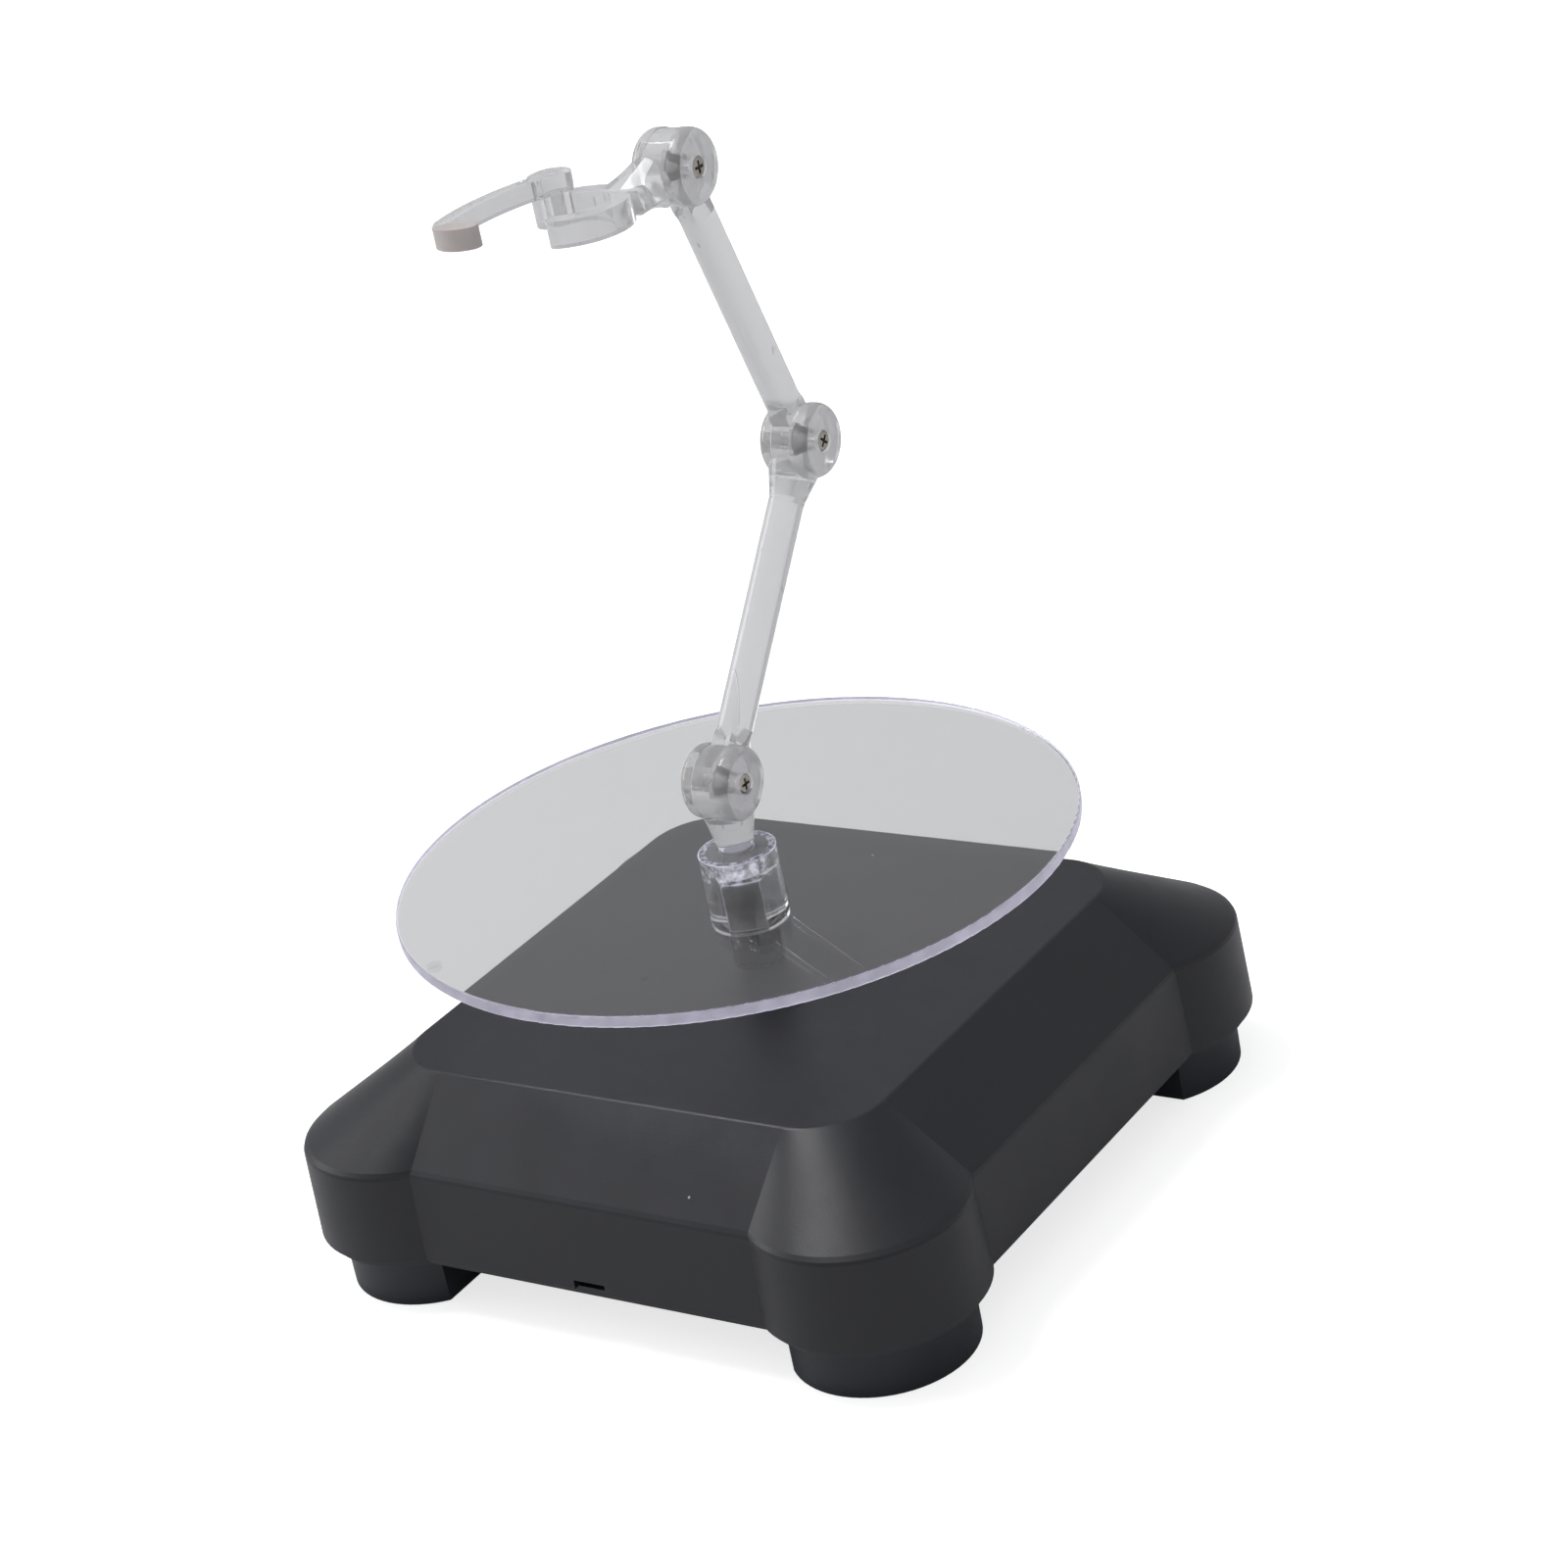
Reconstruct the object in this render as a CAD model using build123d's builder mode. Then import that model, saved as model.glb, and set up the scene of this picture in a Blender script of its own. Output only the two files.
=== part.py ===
from build123d import *
import os
from math import acos, cos, pi, radians, sin, sqrt, tan

# Motorised display stand: a battery turntable with a clear disc and a jointed, clear arm
# that holds a figure in a claw. Millimetres, Z up, the origin on the floor at the centre
# of the base. The long sides of the base lie along X and Y.

# ---- base housing ----
base_half_low = 52.1  # half width across the flats, at the skirt's lower edge
skirt_draft = 0.7  # how far the skirt leans in over its height
skirt_low = 9.0
skirt_high = 22.8
top_height = 33.1
slope_run = 12.3  # how far the slopes draw the roof in from the skirt's lower edge
top_corner_radius = 10.15
lobe_radius_low = 16.3  # round corner towers
lobe_radius_high = 15.8
lobe_standout = 3.1  # how far a tower stands out of the flats
wall = 2.0
shell_edge_round = 0.8
shoulder_round = 0.5

# ---- bottom cover and feet ----
cover_low = 7.8
lip_setback = 1.0  # the cover's lip lies this far inside the skirt
cover_floor = 2.4
spigot_gap = 0.2
foot_radius = 13.3
foot_flat = 8.9  # from a foot's axis to its two inner flats
foot_floor = 1.8
foot_wall = 2.2
foot_post_wall = 2.7
boss_radius = 3.6
cover_screw_radius = 1.3
cover_screw_head_radius = 2.4
cover_screw_head_height = 1.8
cover_screw_length = 12.0
cross_length = 2.6
cross_width = 0.6
cross_depth = 0.9

# ---- battery bay ----
cell_diameter = 14.5
cell_length = 50.5
cell_gap = 0.6
bay_centre_y = 15.9
bay_wall = 1.2
spring_room = 5.5
door_rail = 0.9  # the door's edge runs this far under its ledges
door_gap = 0.2
door_ledge = 1.2

# ---- slide switch ----
switch_place = (-36.0, -12.0)
switch_size = (3.7, 8.6, 3.5)
slider_size = (2.0, 1.8)
slider_travel = 2.4
slider_low = 7.2
slider_grip = 1.0  # how far the slider reaches into the switch
pin_size = (1.0, 0.5)
pin_height = 1.5
pin_pitch = 2.6

# ---- gear train ----
module = 0.6
pressure_angle = 25.0
pinion_teeth = 12
wheel_teeth = 48
backlash = 0.10
gear_face = 1.6
gear_level_step = 1.9
gears_under_lid = 5.8  # from the lid down to the motor pinion and the first wheel
plate_under_gears = 1.9
axle_radius = 0.9
running_gap = 0.05
first_stage_angle = 220.0  # spindle to second compound gear
second_stage_angle = 300.0  # second compound gear to first
third_stage_angle = 25.0  # first compound gear to motor
plate_thickness = 1.5
lid_thickness = 1.1
lid_gap = 0.2  # between the lid and the bush's flange
motor_radius = 12.0
motor_height = 10.3
motor_shaft_radius = 0.75

# ---- spindle, disc and hub ----
bush_wall = 0.6
bush_flange_radius = 5.5
bush_flange = 0.5
spindle_radius = 3.75
spindle_shoulder = 39.2
spindle_journal_radius = 3.0
spindle_stem_radius = 2.45
spindle_tip_radius = 1.5
peg_side = 4.5
peg_top = 46.5
socket_gap = 0.08
hub_radius = 5.75
disc_diameter = 100.0
disc_thickness = 1.8
disc_top = 52.5
stem_peg_radius = 2.4
stem_peg_low = 47.4

# ---- jointed arm ----
lower_hinge_height = 62.6
lower_arm_length = 51.6
lower_arm_lean = 41.5  # degrees from upright, towards +Y
upper_arm_length = 49.4
upper_arm_lean = -19.3
knuckle_radius = 5.5
knuckle_width = 8.3
tongue_width = 3.0
hinge_gap = 0.1  # between a tongue and its ears
swing_gap = 0.35
rod_radius = 2.65
neck_reach = 9.2  # from a fork's hinge to where its neck meets the rod
screw_radius = 1.0
screw_head_radius = 1.55
screw_head_height = 1.3
nut_width = 4.0
nut_height = 1.6
fit_gap = 0.1
edge_round = 1.6  # round the rims of the hinge barrels

# ---- claw ----
ring_inner = 5.0
ring_outer = 7.9
ring_offset_x = -6.6
ring_offset_y = -15.0
jaw_height = 3.8
eye_rise = 0.4  # the jaw's eye stands this far above the jaw
jaw_tip_angle = -77.0
pivot_angle = 152.0
pivot_radius = 3.1
pivot_pin_radius = 1.3
finger_height = 2.65
finger_width = 2.6
finger_gap = 0.05
pad_thickness = 0.2
pad_start = 0.35  # share of the hook that stays bare

# Levels and places that follow from the sizes above.
lobe_offset = base_half_low - lobe_radius_low + lobe_standout
base_half_high = base_half_low - skirt_draft
top_half = base_half_low - slope_run
top_lobe_offset = top_half - top_corner_radius
top_underside = top_height - wall
cover_top = cover_low + cover_floor
hub_top = disc_top - disc_thickness
lid_low = top_underside - bush_flange - lid_gap - lid_thickness
lid_top = lid_low + lid_thickness
gear_level_low = lid_low - gears_under_lid
plate_low = gear_level_low - plate_under_gears
plate_top = plate_low + plate_thickness
gear_levels = [gear_level_low + gear_level_step * i for i in range(3)]
stage_distance = module * (pinion_teeth + wheel_teeth) / 2
slot_half = tongue_width / 2 + hinge_gap


def polar_from(centre, distance, angle):
    return (centre[0] + distance * cos(radians(angle)), centre[1] + distance * sin(radians(angle)))


spindle_place = (0.0, 0.0)
second_gear_place = polar_from(spindle_place, stage_distance, first_stage_angle)
first_gear_place = polar_from(second_gear_place, stage_distance, second_stage_angle)
motor_place = polar_from(first_gear_place, stage_distance, third_stage_angle)
corners = [(sx * lobe_offset, sy * lobe_offset) for sx in (-1, 1) for sy in (-1, 1)]

lower_lean = radians(lower_arm_lean)
upper_lean = radians(upper_arm_lean)
lower_hinge = Vector(0, 0, lower_hinge_height)
lower_direction = Vector(0, sin(lower_lean), cos(lower_lean))
elbow = lower_hinge + lower_direction * lower_arm_length
upper_direction = Vector(0, sin(upper_lean), cos(upper_lean))
wrist = elbow + upper_direction * upper_arm_length

os.makedirs("parts", exist_ok=True)


def finish(piece, name):
    """Label a finished part and write its file."""
    piece.label = name
    export_step(piece, f"parts/{name}.step")


# ---------------------------------------------------------------- base housing


def housing_outline(half, offset, radius):
    """Four straight sides at half, with a round tower of the given radius at each corner."""
    side_end = offset - sqrt(max(radius**2 - (half - offset) ** 2, 0))
    far = offset + radius * cos(radians(45))
    with BuildSketch() as outline:
        with BuildLine():
            for quarter in range(4):
                turn = 90 * quarter
                start = Vector(half, -side_end).rotate(Axis.Z, turn)
                corner_start = Vector(half, side_end).rotate(Axis.Z, turn)
                corner_far = Vector(far, far).rotate(Axis.Z, turn)
                corner_end = Vector(side_end, half).rotate(Axis.Z, turn)
                Line(start, corner_start)
                ThreePointArc(corner_start, corner_far, corner_end)
        make_face()
    return outline.sketch


def housing_body(stations):
    """A solid through the housing's outline at each (height, half, offset, radius)."""
    with BuildPart() as body:
        for height, half, offset, radius in stations:
            with BuildSketch(Plane.XY.offset(height)):
                add(housing_outline(half, offset, radius))
        loft(ruled=True)
    return body.part


def between(first, last, share):
    return tuple(a + (b - a) * share for a, b in zip(first, last))


foot_of_skirt = (skirt_low, base_half_low, lobe_offset, lobe_radius_low)
shoulder = (skirt_high, base_half_high, lobe_offset, lobe_radius_high)
roof_edge = (top_height, top_half, top_lobe_offset, top_corner_radius)
below_shoulder = between(foot_of_skirt, shoulder, 1 - shoulder_round / (skirt_high - skirt_low))
above_shoulder = between(shoulder, roof_edge, shoulder_round / (top_height - skirt_high))
round_shoulder = between(shoulder, between(below_shoulder, above_shoulder, 0.5), 0.45)
outer_body = housing_body(
    [foot_of_skirt, below_shoulder, round_shoulder, above_shoulder, roof_edge]
)


def inset(station, drop):
    height, half, offset, radius = station
    return (height - drop, half - wall, offset, radius - wall)


inner_body = housing_body(
    [inset(foot_of_skirt, wall / 2), inset(shoulder, wall / 2), inset(roof_edge, wall)]
)

# ------------------------------------------------------------- places inside

boss_sleeve = 2.4  # the gear plate's sleeves under the shell's posts
gearbox_bosses = [(18.9, 1.5), (-27.5, 1.0), (18.0, -36.0), (-24.0, -34.0)]
lid_pillars = [(22.0, -8.0), (-31.0, -14.0), (13.0, -35.5)]
boss_post_radius = 2.75
boss_pad_radius = 3.6
boss_post_low = plate_top + boss_sleeve
bush_radius = spindle_journal_radius + running_gap + bush_wall
pry_notch_width = 5.4
pry_notch_height = 1.5
pilot_depth = 10.0
pilot_floor = 1.5
rib_thickness = 1.2
cut_over = 1.0  # how far a cut runs past the face it opens

with BuildPart() as top_shell:
    add(outer_body)
    top_edges = top_shell.faces().sort_by(Axis.Z)[-1].edges()
    fillet(top_edges, shell_edge_round)
    add(inner_body, mode=Mode.SUBTRACT)
    # bosses in the corner towers, which stand on the cover, each tied to its tower by ribs
    with BuildSketch(Plane.XY.offset(cover_top)):
        with Locations(*corners):
            Circle(boss_radius)
    extrude(amount=pilot_depth + pilot_floor)
    rib_reach = lobe_radius_high - wall / 2
    with BuildSketch(Plane.XY.offset(cover_top + pilot_floor)):
        for x, y in corners:
            with Locations((x + rib_reach / 2 * (1 if x > 0 else -1), y)):
                Rectangle(rib_reach, rib_thickness)
            with Locations((x, y + rib_reach / 2 * (1 if y > 0 else -1))):
                Rectangle(rib_thickness, rib_reach)
    extrude(amount=pilot_depth)
    # posts under the roof that the gear train hangs from
    with BuildSketch(Plane.XY.offset(boss_post_low)):
        with Locations(*gearbox_bosses):
            Circle(boss_post_radius)
    extrude(amount=top_underside - boss_post_low + wall / 4)
    # pilot holes
    with BuildSketch(Plane.XY.offset(cover_top)):
        with Locations(*corners):
            Circle(cover_screw_radius)
    extrude(amount=pilot_depth, mode=Mode.SUBTRACT)
    with BuildSketch(Plane.XY.offset(boss_post_low)):
        with Locations(*gearbox_bosses):
            Circle(screw_radius)
    extrude(amount=top_underside - boss_post_low, mode=Mode.SUBTRACT)
    # the seat of the spindle's bush
    with BuildSketch(Plane.XY.offset(top_underside - cut_over)):
        Circle(bush_radius)
    extrude(amount=wall + 2 * cut_over, mode=Mode.SUBTRACT)
    # a pry notch in the front edge of the skirt
    with BuildSketch(Plane.XZ.offset(base_half_low - wall - cut_over)):
        with Locations((0, skirt_low + pry_notch_height / 2)):
            Rectangle(pry_notch_width, pry_notch_height)
    extrude(amount=wall + 2 * cut_over, mode=Mode.SUBTRACT)
finish(top_shell.part, "top_shell")

# ------------------------------------------------------------ bottom cover

bay_half_x = (cell_length + spring_room) / 2 + cell_gap
bay_half_y = cell_diameter / 2 + cell_gap
bay_top = cover_top + cell_diameter + cell_gap
door_half_y = bay_half_y - door_rail
door_split = cover_low + door_ledge
door_travel = 6.0
tab_length = 6.0
tab_places = [-20.0, 12.0]
channel_end = bay_half_x + door_gap + door_travel
screw_seat = 5.0
lead_hole_radius = 0.9
lead_hole_height = 21.0
lead_hole_shift = 3.0


def corner_foot(inset_by):
    """The four feet in plan: round outside, cut by two flats towards the middle."""
    with BuildSketch() as plan:
        with Locations(*corners):
            Circle(foot_radius - inset_by)
        flat = lobe_offset - foot_flat + inset_by
        Rectangle(2 * flat, 4 * base_half_low, mode=Mode.SUBTRACT)
        Rectangle(4 * base_half_low, 2 * flat, mode=Mode.SUBTRACT)
    return plan.sketch


def channel(half_y, low, high, start, end):
    """A block over the battery bay, from start to end along X."""
    with BuildPart() as block:
        with BuildSketch(Plane.XY.offset(low)):
            with Locations(((start + end) / 2, bay_centre_y)):
                Rectangle(end - start, 2 * half_y)
        extrude(amount=high - low)
    return block.part


with BuildPart() as bottom_cover:
    with BuildSketch(Plane.XY.offset(cover_low)):
        lip_radius = lobe_radius_low - lip_setback
        add(housing_outline(base_half_low - lip_setback, lobe_offset, lip_radius))
    extrude(amount=skirt_low - cover_low)
    with BuildSketch(Plane.XY.offset(skirt_low)):
        setback = wall + spigot_gap
        add(housing_outline(base_half_low - setback, lobe_offset, lobe_radius_low - setback))
    extrude(amount=cover_top - skirt_low)
    with BuildSketch(Plane.XY.offset(cover_low)):
        with Locations(*corners):
            Circle(cover_screw_radius + fit_gap)
    extrude(amount=cover_floor, mode=Mode.SUBTRACT)
    # the way into the battery box: a wide groove for the door, under two ledges
    add(channel(bay_half_y, door_split, cover_top, -bay_half_x, channel_end), mode=Mode.SUBTRACT)
    add(channel(door_half_y, cover_low, door_split, -bay_half_x, channel_end), mode=Mode.SUBTRACT)
    for start in tab_places:
        gap_start = start + door_travel - door_gap
        gap_end = start + tab_length + door_travel + door_gap
        add(channel(bay_half_y, cover_low, door_split, gap_start, gap_end), mode=Mode.SUBTRACT)
    # slot and end ribs for the switch
    with BuildSketch(Plane.XY.offset(cover_low)):
        with Locations(switch_place):
            Rectangle(slider_size[0] + 2 * fit_gap, slider_size[1] + slider_travel + 4 * fit_gap)
    extrude(amount=cover_floor, mode=Mode.SUBTRACT)
    with BuildSketch(Plane.XY.offset(cover_top)):
        for side in (-1, 1):
            rib_y = switch_place[1] + side * (switch_size[1] / 2 + rib_thickness / 2 + fit_gap)
            with Locations((switch_place[0], rib_y)):
                Rectangle(switch_size[0], rib_thickness)
    extrude(amount=switch_size[2])
finish(bottom_cover.part, "bottom_cover")

with BuildPart() as feet:
    with BuildSketch():
        add(corner_foot(0))
    extrude(amount=cover_low)
    # hollow from above, round a post for each screw
    with BuildSketch(Plane.XY.offset(foot_floor)):
        add(corner_foot(foot_wall))
        with Locations(*corners):
            Circle(cover_screw_radius + foot_post_wall, mode=Mode.SUBTRACT)
    extrude(amount=cover_low - foot_floor, mode=Mode.SUBTRACT)
    with BuildSketch():
        with Locations(*corners):
            Circle(cover_screw_head_radius + fit_gap)
    extrude(amount=screw_seat, mode=Mode.SUBTRACT)
    with BuildSketch():
        with Locations(*corners):
            Circle(cover_screw_radius + fit_gap)
    extrude(amount=cover_low, mode=Mode.SUBTRACT)
finish(feet.part, "feet")

with BuildPart() as battery_box:
    box_half_x = bay_half_x + bay_wall
    box_half_y = bay_half_y + bay_wall
    add(channel(box_half_y, cover_top, bay_top + bay_wall, -box_half_x, box_half_x))
    add(channel(box_half_y, cover_top, cover_top + bay_wall, bay_half_x, channel_end + bay_wall))
    add(channel(bay_half_y, cover_top, bay_top, -bay_half_x, bay_half_x), mode=Mode.SUBTRACT)
    # holes for the two battery leads
    for side in (-1, 1):
        with BuildSketch(Plane.YZ.offset(side * (bay_half_x + bay_wall / 2))):
            with Locations((bay_centre_y - side * lead_hole_shift, lead_hole_height)):
                Circle(lead_hole_radius)
        extrude(amount=bay_wall, both=True, mode=Mode.SUBTRACT)
finish(battery_box.part, "battery_box")

with BuildPart() as cover_screws:
    with BuildSketch(Plane.XY.offset(screw_seat - cover_screw_head_height)):
        with Locations(*corners):
            Circle(cover_screw_head_radius)
    extrude(amount=cover_screw_head_height)
    with BuildSketch(Plane.XY.offset(screw_seat)):
        with Locations(*corners):
            Circle(cover_screw_radius)
    extrude(amount=cover_screw_length)
    with BuildSketch(Plane.XY.offset(screw_seat - cover_screw_head_height)):
        with Locations(*corners):
            Rectangle(cross_length, cross_width)
            Rectangle(cross_width, cross_length)
    extrude(amount=cross_depth, mode=Mode.SUBTRACT)
finish(cover_screws.part, "cover_screws")

# -------------------------------------------------------------- battery door

groove_count = 4
groove_pitch = 2.0
groove_width = 0.8
groove_depth = 0.5
groove_inset = 7.0  # from the door's end to the middle of its grooves

with BuildPart() as battery_door:
    half_y = door_half_y - door_gap
    start = -bay_half_x + door_gap
    end = bay_half_x
    add(channel(half_y, cover_low, cover_top - fit_gap, start, end))
    for tab in tab_places:
        tab_low = door_split + fit_gap
        tab_high = cover_top - fit_gap
        add(channel(bay_half_y - door_gap, tab_low, tab_high, tab, tab + tab_length))
    # thumb grooves across the outer face
    with BuildSketch(Plane.XY.offset(cover_low)):
        with Locations((end - groove_inset, bay_centre_y)):
            with GridLocations(groove_pitch, 0, groove_count, 1):
                Rectangle(groove_width, 1.2 * half_y)
    extrude(amount=groove_depth, mode=Mode.SUBTRACT)
finish(battery_door.part, "battery_door")

# ---------------------------------------------------------- battery contacts

contact_thickness = 0.4
contact_side = 10.0
contact_tag_radius = 1.6
contact_button_radius = 2.6
contact_button_height = 0.5
contact_middle_z = cover_top + (bay_top - cover_top) / 2
spring_turns = 4
spring_wire_radius = 0.35
spring_base_radius = 4.0
spring_length = 4.6
spring_taper = -14.0  # the cone's half angle; it narrows towards the cell


def contact_plate(side):
    """A square plate against the bay's end wall."""
    with BuildPart() as plate:
        with BuildSketch(Plane.YZ.offset(side * bay_half_x)):
            with Locations((bay_centre_y, contact_middle_z)):
                RectangleRounded(contact_side, contact_side, 1.0)
            with Locations((bay_centre_y - side * lead_hole_shift, lead_hole_height)):
                Circle(contact_tag_radius)
        extrude(amount=-side * contact_thickness)
    return plate.part


with BuildPart() as contact_positive:
    add(contact_plate(-1))
    with BuildSketch(Plane.YZ.offset(-bay_half_x + contact_thickness)):
        with Locations((bay_centre_y, contact_middle_z)):
            Circle(contact_button_radius)
    extrude(amount=contact_button_height)
finish(contact_positive.part, "contact_positive")

with BuildPart() as contact_negative:
    add(contact_plate(1))
finish(contact_negative.part, "contact_negative")

spring_start = bay_half_x - contact_thickness - spring_wire_radius
with BuildPart() as battery_spring:
    with BuildLine() as coil:
        Helix(
            pitch=spring_length / spring_turns,
            height=spring_length,
            radius=spring_base_radius,
            center=(spring_start, bay_centre_y, contact_middle_z),
            direction=(-1, 0, 0),
            cone_angle=spring_taper,
        )
    with BuildSketch(Plane(origin=coil.line @ 0, z_dir=coil.line % 0)):
        Circle(spring_wire_radius)
    sweep()
finish(battery_spring.part, "battery_spring")

# -------------------------------------------------------------- slide switch

switch_x, switch_y = switch_place
switch_top = cover_top + switch_size[2]
slider_root = cover_top + slider_grip

with BuildPart() as switch_body:
    with BuildSketch(Plane.XY.offset(cover_top)):
        with Locations(switch_place):
            Rectangle(switch_size[0], switch_size[1])
    extrude(amount=switch_size[2])
    with BuildSketch(Plane.XY.offset(cover_top)):
        with Locations(switch_place):
            Rectangle(slider_size[0] + 2 * fit_gap, slider_size[1] + slider_travel + 4 * fit_gap)
    extrude(amount=slider_root + fit_gap - cover_top, mode=Mode.SUBTRACT)
finish(switch_body.part, "switch_body")

with BuildPart() as switch_pins:
    with BuildSketch(Plane.XY.offset(switch_top)):
        with Locations(switch_place):
            with GridLocations(0, pin_pitch, 1, 3):
                Rectangle(*pin_size)
    extrude(amount=pin_height)
finish(switch_pins.part, "switch_pins")

slider_y = switch_y - slider_travel / 2
with BuildPart() as switch_slider:
    with BuildSketch(Plane.XY.offset(slider_low)):
        with Locations((switch_x, slider_y)):
            Rectangle(slider_size[0], slider_size[1])
    extrude(amount=slider_root - slider_low)
finish(switch_slider.part, "switch_slider")

# ---------------------------------------------------------------- gear train


def gear_blank(teeth, place, low, first_tooth):
    """A spur gear with involute teeth; one tooth's middle points at first_tooth degrees."""
    pitch_radius = module * teeth / 2
    base_radius = pitch_radius * cos(radians(pressure_angle))
    tip_radius = pitch_radius + 0.95 * module
    root_radius = pitch_radius - 1.25 * module
    involute = tan(radians(pressure_angle)) - radians(pressure_angle)
    half_tooth = (pi * module / 2 - backlash / 2) / (2 * pitch_radius)
    flank = []
    start_radius = max(base_radius, root_radius)
    for step in range(5):
        radius = start_radius + (tip_radius - start_radius) * step / 4
        roll = acos(min(base_radius / radius, 1))
        half = half_tooth + involute - (tan(roll) - roll)
        flank.append((radius, half))
    if root_radius < base_radius:
        flank.insert(0, (root_radius, flank[0][1]))
    outline = []
    for tooth in range(teeth):
        middle = radians(first_tooth) + 2 * pi * tooth / teeth
        rising = [(radius, middle - half) for radius, half in flank]
        falling = [(radius, middle + half) for radius, half in reversed(flank)]
        outline += [(r * cos(a), r * sin(a)) for r, a in rising + falling]
    with BuildPart() as blank:
        with BuildSketch(Plane.XY.offset(low)):
            with Locations(place):
                with BuildLine(mode=Mode.PRIVATE) as rim:
                    Polyline(*outline, close=True)
                add(make_face(rim.edges(), mode=Mode.PRIVATE))
        extrude(amount=gear_face)
    return blank.part


def disc_at(place, radius, low, high):
    with BuildPart() as piece:
        with BuildSketch(Plane.XY.offset(low)):
            with Locations(place):
                Circle(radius)
        extrude(amount=high - low)
    return piece.part


def gap_phase(angle, teeth):
    """The tooth direction that sets a gap's middle at angle, seen from the gear's axis."""
    return angle + 180 / teeth


spacer_radius = 2.0
hub_top_low = lid_low - 0.1
bore_radius = axle_radius + running_gap
low_level, middle_level, high_level = gear_levels

# The motor pinion's tooth points at the first gear, whose gap takes it, and so on up.
with BuildPart() as motor_pinion:
    add(gear_blank(pinion_teeth, motor_place, low_level, third_stage_angle + 180))
    add(disc_at(motor_place, motor_shaft_radius, low_level, low_level + gear_face), mode=Mode.SUBTRACT)
finish(motor_pinion.part, "motor_pinion")

with BuildPart() as first_gear:
    wheel_phase = gap_phase(third_stage_angle, wheel_teeth)
    add(gear_blank(wheel_teeth, first_gear_place, low_level, wheel_phase))
    add(disc_at(first_gear_place, spacer_radius, plate_top + running_gap, low_level))
    add(disc_at(first_gear_place, spacer_radius, low_level, middle_level))
    add(gear_blank(pinion_teeth, first_gear_place, middle_level, second_stage_angle + 180))
    add(disc_at(first_gear_place, spacer_radius, middle_level + gear_face, hub_top_low))
    add(disc_at(first_gear_place, bore_radius, plate_top, lid_low), mode=Mode.SUBTRACT)
finish(first_gear.part, "first_gear")

with BuildPart() as second_gear:
    wheel_phase = gap_phase(second_stage_angle, wheel_teeth)
    add(gear_blank(wheel_teeth, second_gear_place, middle_level, wheel_phase))
    add(disc_at(second_gear_place, spacer_radius, plate_top + running_gap, middle_level))
    add(disc_at(second_gear_place, spacer_radius, middle_level, high_level))
    add(gear_blank(pinion_teeth, second_gear_place, high_level, first_stage_angle + 180))
    add(disc_at(second_gear_place, spacer_radius, high_level + gear_face, hub_top_low))
    add(disc_at(second_gear_place, bore_radius, plate_top, lid_low), mode=Mode.SUBTRACT)
finish(second_gear.part, "second_gear")

with BuildPart() as output_gear:
    wheel_phase = gap_phase(first_stage_angle, wheel_teeth)
    add(gear_blank(wheel_teeth, spindle_place, high_level, wheel_phase))
    add(disc_at(spindle_place, spindle_stem_radius + 1.6, high_level + gear_face, hub_top_low))
    add(disc_at(spindle_place, spindle_stem_radius, high_level, lid_low), mode=Mode.SUBTRACT)
finish(output_gear.part, "output_gear")

with BuildPart() as gear_axles:
    for place in (first_gear_place, second_gear_place):
        add(disc_at(place, axle_radius, plate_low, lid_top))
finish(gear_axles.part, "gear_axles")


def hull_of_circles(circles, low, high):
    """A plate whose edge wraps round the given (place, radius) circles."""
    with BuildPart() as plate:
        with BuildSketch(Plane.XY.offset(low)):
            for place, radius in circles:
                with Locations(place):
                    Circle(radius)
            make_hull()
        extrude(amount=high - low)
    return plate.part


pillar_radius = 1.6
tenon_radius = 0.9
motor_screw_radius = 0.8
motor_screw_circle = 6.0
motor_boss_radius = 3.0
motor_screw_places = [
    polar_from(motor_place, motor_screw_circle, third_stage_angle + side * 90) for side in (-1, 1)
]
gearbox_screw_length = 8.0
gearbox_screw_head_radius = 1.9
gearbox_screw_head_height = 1.3
plate_circles = [(place, boss_pad_radius) for place in gearbox_bosses]
plate_circles += [(place, pillar_radius + 0.8) for place in lid_pillars]

with BuildPart() as gearbox_plate:
    add(hull_of_circles(plate_circles, plate_low, plate_top))
    for place in gearbox_bosses:
        add(disc_at(place, boss_post_radius, plate_top, boss_post_low))
    for place in lid_pillars:
        add(disc_at(place, pillar_radius, plate_top, lid_low))
        add(disc_at(place, tenon_radius, lid_low, lid_top))
    for place in gearbox_bosses:
        bore = disc_at(place, screw_radius + fit_gap, plate_low, boss_post_low)
        add(bore, mode=Mode.SUBTRACT)
    for place in (first_gear_place, second_gear_place):
        add(disc_at(place, axle_radius, plate_low, plate_top), mode=Mode.SUBTRACT)
    tip_bore = disc_at(spindle_place, spindle_tip_radius + running_gap, plate_low, plate_top)
    add(tip_bore, mode=Mode.SUBTRACT)
    add(disc_at(motor_place, motor_boss_radius, plate_low, plate_top), mode=Mode.SUBTRACT)
    for place in motor_screw_places:
        bore = disc_at(place, motor_screw_radius + fit_gap, plate_low, plate_top)
        add(bore, mode=Mode.SUBTRACT)
finish(gearbox_plate.part, "gearbox_plate")

lid_circles = [(place, pillar_radius + 0.8) for place in lid_pillars]
lid_circles += [(place, 3.0) for place in (first_gear_place, second_gear_place)]
lid_circles.append((spindle_place, 6.5))

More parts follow.
